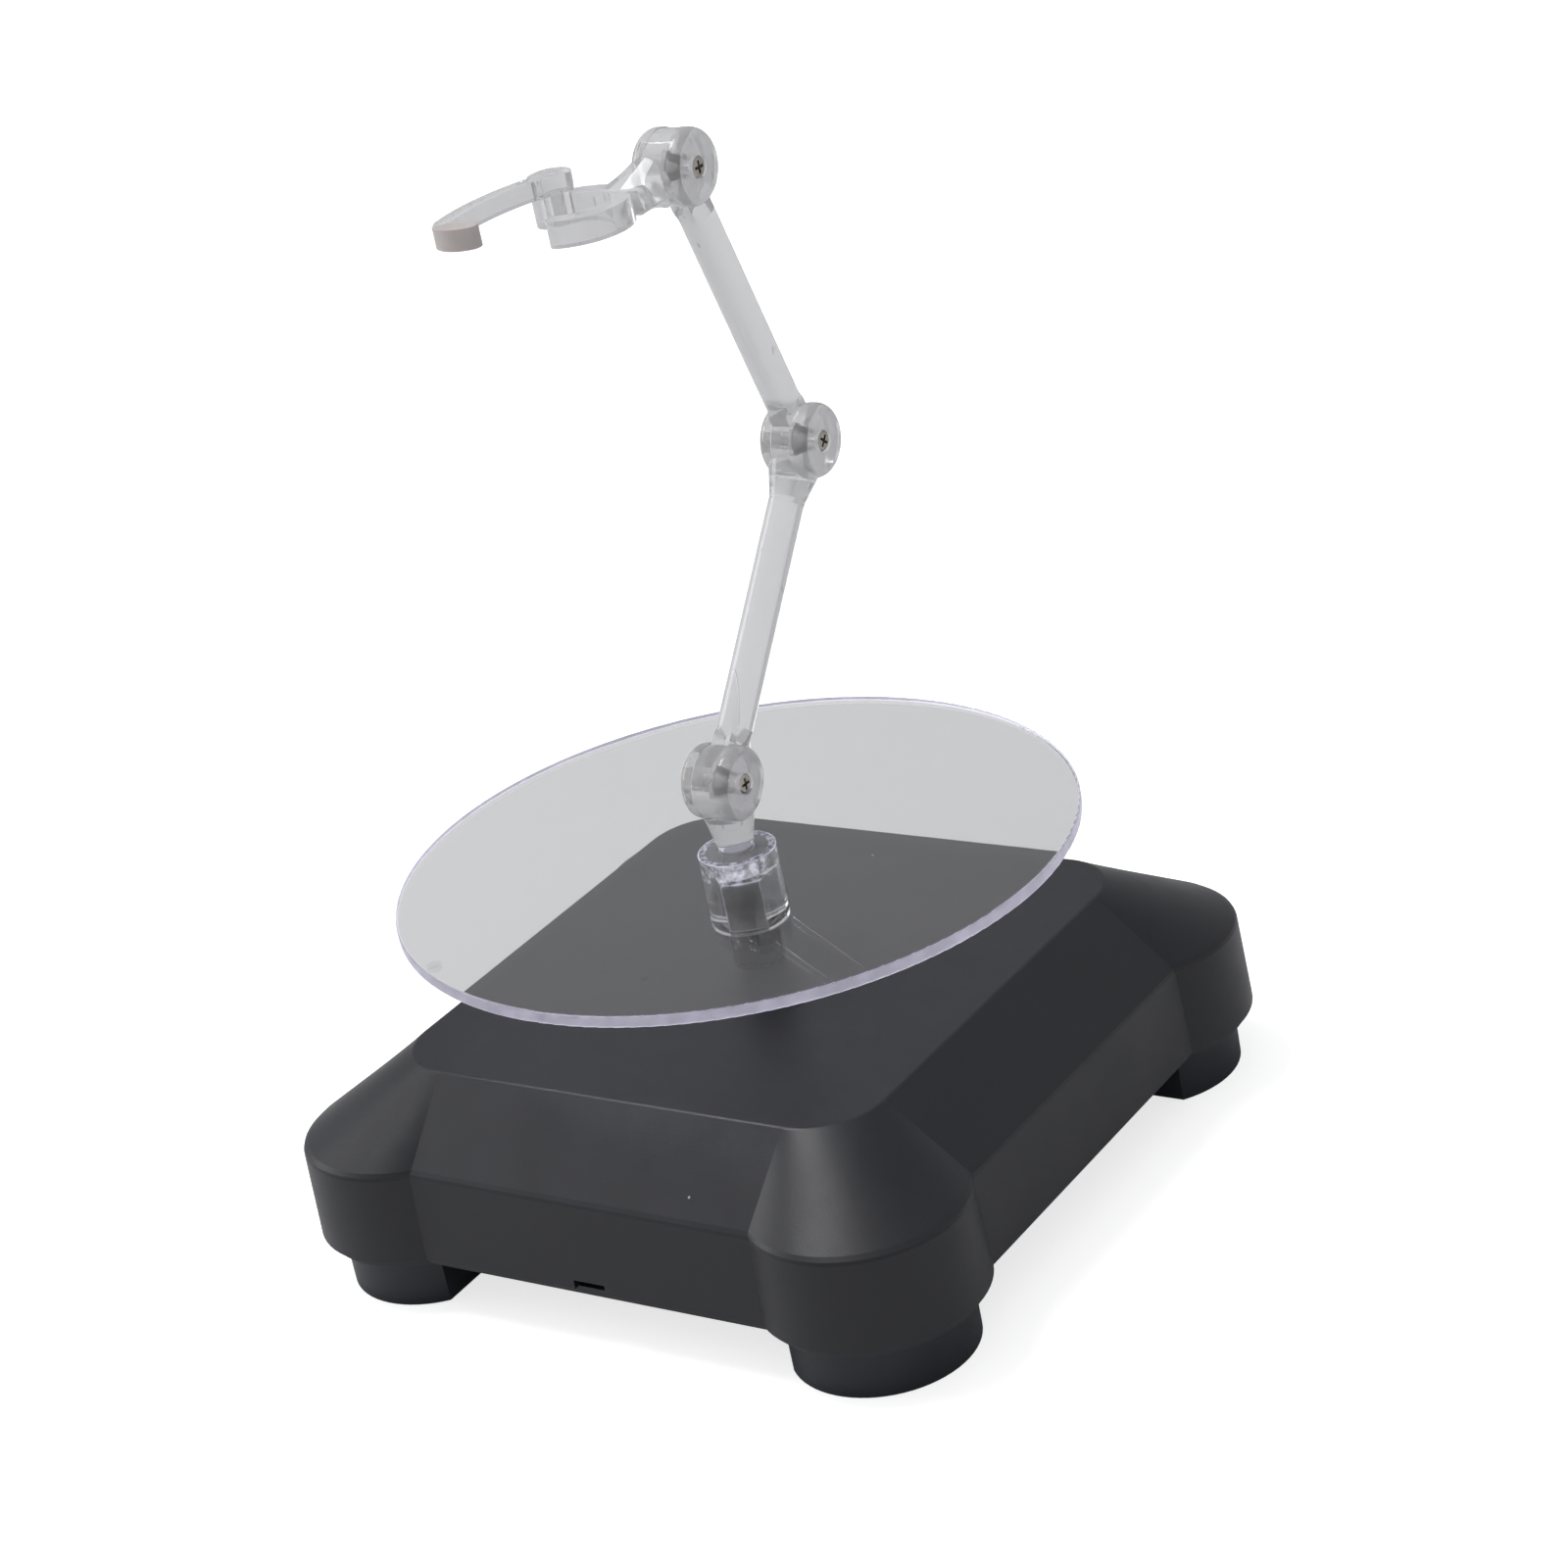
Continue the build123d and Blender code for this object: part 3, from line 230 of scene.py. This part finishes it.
black_abs = moulded_plastic(
    "black_abs", (0.0135, 0.0140, 0.0205, 1.0), (0.055, 0.055, 0.063, 1.0), 0.40, dusty=0.03
)
black_abs_low = moulded_plastic(
    "black_abs_low", (0.016, 0.018, 0.027, 1.0), (0.056, 0.059, 0.072, 1.0), 0.42
)
finish_node("top_shell", black_abs)
for name in ("bottom_cover", "feet", "battery_box", "battery_door"):
    finish_node(name, black_abs_low)

# ------------------------------------------------------------------------- screws
# Cover, gearbox and motor screws: steel with a black zinc finish, brighter where the
# driver has rubbed the head. They cut their own threads in the plastic posts.


def worked_metal(name, colour, worn_colour, roughness, lines, metallic=1.0):
    """A metal with fine tool lines of the given spacing and brighter, rubbed edges."""
    made, tree, output = new_material(name)
    place = own_space(tree)
    wear = use_group(tree, edges, Width=0.00015)
    marks = node(tree, "ShaderNodeTexNoise", {"Vector": place, "Scale": lines, "Detail": 4.0})
    broad = node(tree, "ShaderNodeTexNoise", {"Vector": place, "Scale": lines / 8, "Detail": 2.0})
    stained = tuple(c * 0.72 for c in colour[:3]) + (1.0,)
    body = mix_colours(tree, ramp(tree, broad.outputs["Fac"], 0.35, 0.65), stained, colour)
    body = mix_colours(tree, wear.outputs["Mask"], body, worn_colour)
    shine = ramp(tree, marks.outputs["Fac"], 0.3, 0.7, roughness - 0.06, roughness + 0.08)
    relief = node(
        tree, "ShaderNodeBump", {"Strength": 0.2, "Distance": 0.00002, "Height": marks.outputs["Fac"]}
    )
    surface = node(
        tree,
        "ShaderNodeBsdfPrincipled",
        {
            "Base Color": body,
            "Metallic": metallic,
            "Roughness": shine,
            "Normal": relief.outputs["Normal"],
        },
    )
    tree.links.new(surface.outputs[0], output.inputs["Surface"])
    return made


black_zinc = worked_metal(
    "black_zinc_steel", (0.16, 0.16, 0.17, 1.0), (0.55, 0.54, 0.52, 1.0), 0.38, 3000.0
)
for name in ("cover_screws", "gearbox_screws", "motor_screws"):
    finish_node(name, black_zinc)

# --------------------------------------------------------------- battery contacts
# Two stamped plates and the coil spring that presses the cell: nickel plated spring
# steel, held in grooves of the battery box. The leads are soldered through its walls.
nickel_strip = worked_metal(
    "nickel_plated_strip", (0.66, 0.64, 0.59, 1.0), (0.80, 0.78, 0.73, 1.0), 0.28, 1500.0
)
for name in ("contact_positive", "contact_negative", "battery_spring"):
    finish_node(name, nickel_strip)

# ------------------------------------------------------------------ slide switch
# A small slide switch in two ribs of the cover: black phenolic body, brass pins tinned
# for solder, and a pale slider that a fingertip moves through a slot underneath.
phenolic = moulded_plastic(
    "switch_phenolic", (0.045, 0.043, 0.040, 1.0), (0.11, 0.10, 0.09, 1.0), 0.55, 5200.0
)
pale_slider = moulded_plastic(
    "slider_plastic", (0.62, 0.62, 0.58, 1.0), (0.72, 0.72, 0.70, 1.0), 0.42, 5200.0
)
brass = worked_metal("turned_brass", (0.70, 0.50, 0.20, 1.0), (0.85, 0.68, 0.36, 1.0), 0.30, 2600.0)
finish_node("switch_body", phenolic)
finish_node("switch_slider", pale_slider)
finish_node("switch_pins", brass)

# --------------------------------------------------------------------- gear train
# White acetal wheels moulded with their pinions, turning on ground steel axles between
# a plate and a lid of natural ABS; the motor's own pinion is brass, pressed on its shaft.
acetal = moulded_plastic(
    "white_acetal", (0.80, 0.80, 0.76, 1.0), (0.88, 0.88, 0.86, 1.0), 0.36, 2400.0, bump=0.1
)
natural_abs = moulded_plastic(
    "natural_abs", (0.56, 0.55, 0.50, 1.0), (0.68, 0.67, 0.63, 1.0), 0.44
)
ground_steel = worked_metal(
    "ground_steel", (0.62, 0.62, 0.63, 1.0), (0.80, 0.80, 0.80, 1.0), 0.24, 4200.0
)
for name in ("first_gear", "second_gear", "output_gear"):
    finish_node(name, acetal)
for name in ("gearbox_plate", "gearbox_lid", "motor_end_cap"):
    finish_node(name, natural_abs)
finish_node("gear_axles", ground_steel)
finish_node("motor_pinion", brass)

# -------------------------------------------------------------------------- motor
# A small flat motor: a drawn steel can with a zinc finish, a moulded end cap with brass
# tags, and the wound rotor on its shaft. Two screws hold it under the gear plate.
zinc_can = worked_metal(
    "zinc_plated_can", (0.58, 0.59, 0.61, 1.0), (0.74, 0.74, 0.74, 1.0), 0.34, 900.0
)
enamelled_copper = worked_metal(
    "wound_rotor", (0.42, 0.17, 0.07, 1.0), (0.60, 0.32, 0.16, 1.0), 0.32, 3800.0
)
finish_node("motor_can", zinc_can)
finish_node("motor_terminals", brass)
finish_node("motor_rotor", enamelled_copper)

# -------------------------------------------------------------------------- leads
# Three thin stranded leads in PVC: red from the cell to the switch, blue from there to
# the motor and black back to the cell. Their ends are soldered to the tags.


def lead_sleeve(name, colour):
    """Soft, slightly wavy PVC insulation."""
    pale = tuple(min(1.0, c * 1.6 + 0.02) for c in colour[:3]) + (1.0,)
    return moulded_plastic(name, colour, pale, 0.38, 1400.0, bump=0.35)


finish_node("red_lead", lead_sleeve("red_pvc", (0.46, 0.02, 0.02, 1.0)))
finish_node("switch_lead", lead_sleeve("blue_pvc", (0.03, 0.09, 0.40, 1.0)))
finish_node("black_lead", lead_sleeve("black_pvc", (0.02, 0.02, 0.02, 1.0)))

# ---------------------------------------------------------------- bush and spindle
# A flanged brass bush pressed in the shell's roof carries the black acetal spindle. Its
# square peg stands up into the clear hub and drives it; the disc lifts off the peg.
black_acetal = moulded_plastic(
    "black_acetal", (0.022, 0.022, 0.024, 1.0), (0.07, 0.07, 0.07, 1.0), 0.30, 2600.0, bump=0.12
)
finish_node("spindle_bush", brass)
finish_node("spindle", black_acetal)

# ------------------------------------------------------------------- hub and disc
# The disc is clear acrylic with a sawn, duller rim that is given a painted lilac glow. The hub is turned
# from clear rod and cemented under it, with a socket for the peg and the stem's foot.

# flow marks: faint streaks and small dark flecks left in clear plastic
flow, flow_in, flow_out = new_group(
    "flow_marks",
    [("Scale", 60.0), ("Stretch", 0.25), ("Fleck Size", 0.05)],
    [("Streaks", "NodeSocketFloat"), ("Flecks", "NodeSocketFloat")],
)
stretch_by = node(flow, "ShaderNodeCombineXYZ", {"X": 1.0, "Y": 1.0})
flow.links.new(flow_in.outputs["Stretch"], stretch_by.inputs["Z"])
drawn_out = node(
    flow,
    "ShaderNodeVectorMath",
    {0: own_space(flow), 1: stretch_by.outputs[0]},
    operation="MULTIPLY",
)
streaks = node(flow, "ShaderNodeTexNoise", {"Vector": drawn_out.outputs[0], "Detail": 5.0})
flow.links.new(flow_in.outputs["Scale"], streaks.inputs["Scale"])
fleck_cells = node(flow, "ShaderNodeTexVoronoi", {"Vector": drawn_out.outputs[0]})
flow.links.new(flow_in.outputs["Scale"], fleck_cells.inputs["Scale"])
fleck_edge = node(
    flow, "ShaderNodeMath", {0: fleck_cells.outputs["Distance"]}, operation="LESS_THAN"
)
flow.links.new(flow_in.outputs["Fleck Size"], fleck_edge.inputs[1])
flow.links.new(streaks.outputs["Fac"], flow_out.inputs["Streaks"])
flow.links.new(fleck_edge.outputs[0], flow_out.inputs["Flecks"])


def clear_plastic(
    name, colour, fleck_colour, ior, haze, scale, bump, fleck_size=0.03, clarity=1.0
):
    """See-through plastic, milkier as clarity falls. Lamp light passes straight through it."""
    made, tree, output = new_material(name)
    marks = use_group(tree, flow, Scale=scale)
    marks.inputs["Fleck Size"].default_value = fleck_size
    tint = mix_colours(tree, marks.outputs["Flecks"], colour, fleck_colour)
    rough = ramp(tree, marks.outputs["Streaks"], 0.35, 0.7, haze * 0.4, haze)
    relief = node(
        tree,
        "ShaderNodeBump",
        {"Strength": bump, "Distance": 0.0002, "Height": marks.outputs["Streaks"]},
    )
    surface = node(
        tree,
        "ShaderNodeBsdfPrincipled",
        {
            "Base Color": tint,
            "Roughness": rough,
            "Normal": relief.outputs["Normal"],
            "IOR": ior,
            "Transmission Weight": clarity,
        },
    )
    straight = node(tree, "ShaderNodeBsdfTransparent", {"Color": (0.90, 0.90, 0.91, 1.0)})
    ray = node(tree, "ShaderNodeLightPath")
    either = node(
        tree,
        "ShaderNodeMath",
        {0: ray.outputs["Is Shadow Ray"], 1: ray.outputs["Is Diffuse Ray"]},
        operation="MAXIMUM",
    )
    both = node(
        tree,
        "ShaderNodeMixShader",
        {0: either.outputs[0], 1: surface.outputs[0], 2: straight.outputs[0]},
    )
    tree.links.new(both.outputs[0], output.inputs["Surface"])
    return made


def paint_glow_and_dull(made, mask, glow, dulling):
    """Where the mask is 1, a clear piece gets a painted glow, an emission standing in for light, and is
    duller.
    """
    tree = made.node_tree
    surface = next(n for n in tree.nodes if n.bl_idname == "ShaderNodeBsdfPrincipled")
    painted_glow_colour = mix_colours(tree, mask, (0.0, 0.0, 0.0, 1.0), glow)
    tree.links.new(painted_glow_colour, surface.inputs["Emission Color"])
    surface.inputs["Emission Strength"].default_value = 1.0
    polished = surface.inputs["Roughness"].links[0].from_socket
    dulled = node(
        tree, "ShaderNodeMath", {0: polished, 1: ramp(tree, mask, 0.0, 1.0, 0.0, dulling)}, operation="ADD"
    )
    tree.links.new(dulled.outputs[0], surface.inputs["Roughness"])


clear_acrylic = clear_plastic(
    "clear_acrylic",
    (0.965, 0.965, 0.975, 1.0),
    (0.80, 0.80, 0.82, 1.0),
    ior=1.49,
    haze=0.02,
    scale=25.0,
    bump=0.02,
)
disc_low, disc_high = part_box("disc")
disc_radius = (disc_high.x - disc_low.x) / 2
rim_depth = 0.15 * MM
rim_blend = 0.2 * MM
disc_tree = clear_acrylic.node_tree
flat_place = node(
    disc_tree,
    "ShaderNodeVectorMath",
    {0: own_space(disc_tree), 1: (1.0, 1.0, 0.0)},
    operation="MULTIPLY",
)
from_axis = node(disc_tree, "ShaderNodeVectorMath", {0: flat_place.outputs[0]}, operation="LENGTH")
saw_marks = node(
    disc_tree, "ShaderNodeTexNoise", {"Vector": own_space(disc_tree), "Scale": 420.0, "Detail": 4.0}
)
sawn_rim_and_glow = node(
    disc_tree,
    "ShaderNodeMath",
    {
        0: ramp(
            disc_tree,
            from_axis.outputs["Value"],
            disc_radius - rim_depth - rim_blend,
            disc_radius - rim_depth,
        ),
        1: ramp(disc_tree, saw_marks.outputs["Fac"], 0.3, 0.7, 0.72, 1.0),
    },
    operation="MULTIPLY",
)
# painted glow: a lilac emission on the disc's sawn rim, which is also made duller
paint_glow_and_dull(clear_acrylic, sawn_rim_and_glow.outputs[0], (0.37, 0.355, 0.45, 1.0), 0.4)
finish_node("disc", clear_acrylic)

clear_rod = clear_plastic(
    "clear_rod",
    (0.975, 0.975, 0.985, 1.0),
    (0.80, 0.80, 0.82, 1.0),
    ior=1.49,
    haze=0.05,
    scale=90.0,
    bump=0.03,
    clarity=0.92,
)
hub_low, hub_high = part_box("hub")
band_depth = 3.4 * MM
band_blend = 0.3 * MM
hub_tree = clear_rod.node_tree
hub_place = node(hub_tree, "ShaderNodeSeparateXYZ", {0: own_space(hub_tree)})
# turned rims get a painted glow, and a band about the stem's end is spotted with cement whose spots get
# the same painted glow
rim_painted_glow = use_group(hub_tree, edges, Width=0.0005)
spots = node(
    hub_tree, "ShaderNodeTexNoise", {"Vector": own_space(hub_tree), "Scale": 950.0, "Detail": 5.0}
)
band_top = ramp(hub_tree, hub_place.outputs["Z"], hub_high.z, hub_high.z - band_blend)
band_end = hub_high.z - band_depth
band_low = ramp(hub_tree, hub_place.outputs["Z"], band_end, band_end + band_blend)
band = node(hub_tree, "ShaderNodeMath", {0: band_top, 1: band_low}, operation="MULTIPLY")
spotted = node(
    hub_tree,
    "ShaderNodeMath",
    {0: band.outputs[0], 1: ramp(hub_tree, spots.outputs["Fac"], 0.47, 0.62, 0.0, 0.55)},
    operation="MULTIPLY",
)
painted_glow_parts = node(
    hub_tree, "ShaderNodeMath", {0: rim_painted_glow.outputs["Mask"], 1: spotted.outputs[0]}, operation="MAXIMUM"
)
# painted glow: a pale lilac emission on the hub's turned rims and on the cement spots of its top band
paint_glow_and_dull(clear_rod, painted_glow_parts.outputs[0], (0.46, 0.45, 0.55, 1.0), 0.25)
finish_node("hub", clear_rod)

# ------------------------------------------------------------------ cement ring
# The cement between hub and disc dries to a thin, mottled, lilac-white film full of
# small bubbles. It is a flat ring under the disc, just inside the hub's edge.
film_outer = (hub_high.x - hub_low.x) / 2 - 0.1 * MM
film_inner = 4.6 * MM
film_half = 0.04 * MM
film_waver = 0.05 * MM
film_steps = 96
film_rings = 12


def cement_film():
    """A ring with a wavy outer edge and rippled faces, closed at both edges."""
    points = []
    faces = []
    for side in (1, -1):
        for ring in range(film_rings + 1):
            share = ring / film_rings
            for step in range(film_steps):
                angle = 2 * pi * step / film_steps
                edge = Vector((cos(angle), sin(angle), 0.0))
                waver = film_waver * noise.noise(edge * 3.1)
                radius = film_inner + (film_outer + waver - film_inner) * share
                ripple = 0.5 + 0.5 * noise.noise(Vector((edge.x, edge.y, share * 2.0)) * 6.0)
                lift = film_half * (0.6 + 0.4 * ripple) * side
                points.append((radius * edge.x, radius * edge.y, hub_high.z + lift))
    count = (film_rings + 1) * film_steps
    for side in range(2):
        for ring in range(film_rings):
            for step in range(film_steps):
                after = (step + 1) % film_steps
                first = side * count + ring * film_steps
                quad = (first + step, first + film_steps + step, first + film_steps + after, first + after)
                faces.append(quad if side == 0 else quad[::-1])
    for ring in (0, film_rings):
        for step in range(film_steps):
            after = (step + 1) % film_steps
            first = ring * film_steps
            quad = (first + step, first + after, count + first + after, count + first + step)
            faces.append(quad if ring == 0 else quad[::-1])
    mesh = bpy.data.meshes.new("cement_ring")
    mesh.from_pydata(points, [], faces)
    mesh.polygons.foreach_set("use_smooth", [True] * len(mesh.polygons))
    return mesh


cement_ring = bpy.data.objects.new("cement_ring", cement_film())
bpy.context.scene.collection.objects.link(cement_ring)
cement, cement_tree, cement_output = new_material("cement_film")
blotches = node(
    cement_tree, "ShaderNodeTexNoise", {"Vector": own_space(cement_tree), "Scale": 1100.0, "Detail": 5.0}
)
bubbles = node(
    cement_tree, "ShaderNodeTexVoronoi", {"Vector": own_space(cement_tree), "Scale": 1500.0}
)
blotched = mix_colours(
    cement_tree,
    ramp(cement_tree, blotches.outputs["Fac"], 0.4, 0.62),
    (0.36, 0.35, 0.46, 1.0),
    (0.82, 0.81, 0.92, 1.0),
)
film_cover = node(
    cement_tree,
    "ShaderNodeMath",
    {
        0: ramp(cement_tree, blotches.outputs["Fac"], 0.36, 0.60, 0.25, 0.85),
        1: ramp(cement_tree, bubbles.outputs["Distance"], 0.1, 0.35, 0.55, 1.0),
    },
    operation="MULTIPLY",
)
film_surface = node(
    cement_tree,
    "ShaderNodeBsdfPrincipled",
    {"Base Color": blotched, "Roughness": 0.35, "Alpha": film_cover.outputs[0]},
)
cement_tree.links.new(film_surface.outputs[0], cement_output.inputs["Surface"])
cement_ring.data.materials.append(cement)
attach(cement_ring, "disc_unit")

# ------------------------------------------------------------------ stem and arms
# Stem, lower arm and upper arm: clear polystyrene, injection moulded. Forks and tongues
# turn on M2 screws, and the round rods between them keep faint marks of the flow.
clear_styrene = clear_plastic(
    "clear_styrene",
    (0.968, 0.966, 0.972, 1.0),
    (0.60, 0.60, 0.61, 1.0),
    ior=1.46,
    haze=0.05,
    scale=520.0,
    bump=0.06,
    fleck_size=0.10,
    clarity=0.79,
)
for name in ("stem", "lower_arm", "upper_arm"):
    finish_node(name, clear_styrene)

# ------------------------------------------------------------- hinge screws, nuts
# Each hinge has a nickel plated cross-head M2 screw, sunk in the ear on one side, and a
# hexagon nut let into the other. Their tightness is what holds the arm where it is set.
nickel_screw = worked_metal(
    "nickel_plated_screw", (0.58, 0.55, 0.50, 1.0), (0.86, 0.84, 0.80, 1.0), 0.22, 2200.0
)
for hinge in ("lower", "elbow", "wrist"):
    finish_node(f"{hinge}_screw", nickel_screw)
    finish_node(f"{hinge}_nut", nickel_screw)

# --------------------------------------------------------------- claw and finger
# The open jaw grows from the wrist's fork, and a curved finger turns on the pin that
# stands in the jaw's end. Both are moulded from the same clear polystyrene as the arms.
for name in ("claw_body", "claw_finger"):
    finish_node(name, clear_styrene)

# ------------------------------------------------------------------ fingertip pad
# A short sleeve of soft, greyish pink rubber pushed over the finger's end, so that the
# claw doesn't mark what it holds. It is faintly translucent and slightly dusty.
sleeve, sleeve_tree, sleeve_output = new_material("soft_sleeve")
sleeve_marks = use_group(sleeve_tree, grain, Pebble=2600.0, Cloud=220.0)
sleeve_wear = use_group(sleeve_tree, edges, Width=0.0004)
sleeve_body = mix_colours(
    sleeve_tree,
    ramp(sleeve_tree, sleeve_marks.outputs["Cloud"], 0.3, 0.7),
    (0.56, 0.50, 0.49, 1.0),
    (0.64, 0.57, 0.56, 1.0),
)
sleeve_body = mix_colours(sleeve_tree, sleeve_wear.outputs["Mask"], sleeve_body, (0.60, 0.56, 0.55, 1.0))
sleeve_relief = node(
    sleeve_tree,
    "ShaderNodeBump",
    {"Strength": 0.15, "Distance": 0.00005, "Height": sleeve_marks.outputs["Height"]},
)
sleeve_surface = node(
    sleeve_tree,
    "ShaderNodeBsdfPrincipled",
    {
        "Base Color": sleeve_body,
        "Roughness": ramp(sleeve_tree, sleeve_marks.outputs["Cloud"], 0.3, 0.7, 0.5, 0.62),
        "Normal": sleeve_relief.outputs["Normal"],
        "Subsurface Weight": 0.3,
        "Subsurface Scale": 0.0015,
    },
)
sleeve_tree.links.new(sleeve_surface.outputs[0], sleeve_output.inputs["Surface"])
finish_node("fingertip_pad", sleeve)

# ------------------------------------------------------------------------- studio
# A wide, pale floor under soft light: a softbox almost overhead, a little to the left,
# a weaker one low on the left and an even, light grey room.
floor_half = 3.0
floor_mesh = bpy.data.meshes.new("studio_floor")
floor_mesh.from_pydata(
    [(x * floor_half, y * floor_half, -0.00005) for x, y in ((-1, -1), (1, -1), (1, 1), (-1, 1))],
    [],
    [(0, 1, 2, 3)],
)
floor = bpy.data.objects.new("studio_floor", floor_mesh)
bpy.context.scene.collection.objects.link(floor)
paper, paper_tree, paper_output = new_material("pale_paper")
paper_fibre = node(
    paper_tree, "ShaderNodeTexNoise", {"Vector": own_space(paper_tree), "Scale": 900.0, "Detail": 4.0}
)
paper_colour = mix_colours(
    paper_tree,
    ramp(paper_tree, paper_fibre.outputs["Fac"], 0.3, 0.7),
    (0.78, 0.78, 0.78, 1.0),
    (0.80, 0.80, 0.80, 1.0),
)
paper_surface = node(
    paper_tree, "ShaderNodeBsdfPrincipled", {"Base Color": paper_colour, "Roughness": 0.9}
)
paper_ray = node(paper_tree, "ShaderNodeLightPath")
paper_glow = node(
    paper_tree, "ShaderNodeMath", {0: paper_ray.outputs["Is Camera Ray"], 1: 0.72}, operation="MULTIPLY"
)
paper_tree.links.new(paper_glow.outputs[0], paper_surface.inputs["Emission Strength"])
paper_surface.inputs["Emission Color"].default_value = (1.0, 1.0, 1.0, 1.0)
paper_tree.links.new(paper_surface.outputs[0], paper_output.inputs["Surface"])
floor_mesh.materials.append(paper)

room = bpy.data.worlds.new("room")
bpy.context.scene.world = room
room.use_nodes = True
room_tree = room.node_tree
room_light = room_tree.nodes["Background"]
room_light.inputs["Color"].default_value = (0.97, 0.98, 1.0, 1.0)
room_ray = node(room_tree, "ShaderNodeLightPath")
room_level = ramp(room_tree, room_ray.outputs["Is Camera Ray"], 0.0, 1.0, 0.45, 1.0)
room_tree.links.new(room_level, room_light.inputs["Strength"])


def softbox(name, place, size, power):
    """A square lamp aimed at the middle of the stand."""
    data = bpy.data.lights.new(name, "AREA")
    data.shape = "SQUARE"
    data.size = size
    data.energy = power
    lamp = bpy.data.objects.new(name, data)
    lamp.location = place
    lamp.rotation_euler = (Vector((0, 0, 0.05)) - Vector(place)).to_track_quat("-Z", "Y").to_euler()
    bpy.context.scene.collection.objects.link(lamp)


softbox("softbox_left", (-1.05, -0.30, 0.45), 0.6, 3.0)
softbox("softbox_top", (-0.40, -0.08, 1.10), 0.45, 5.0)
bpy.context.scene.view_settings.view_transform = "Standard"
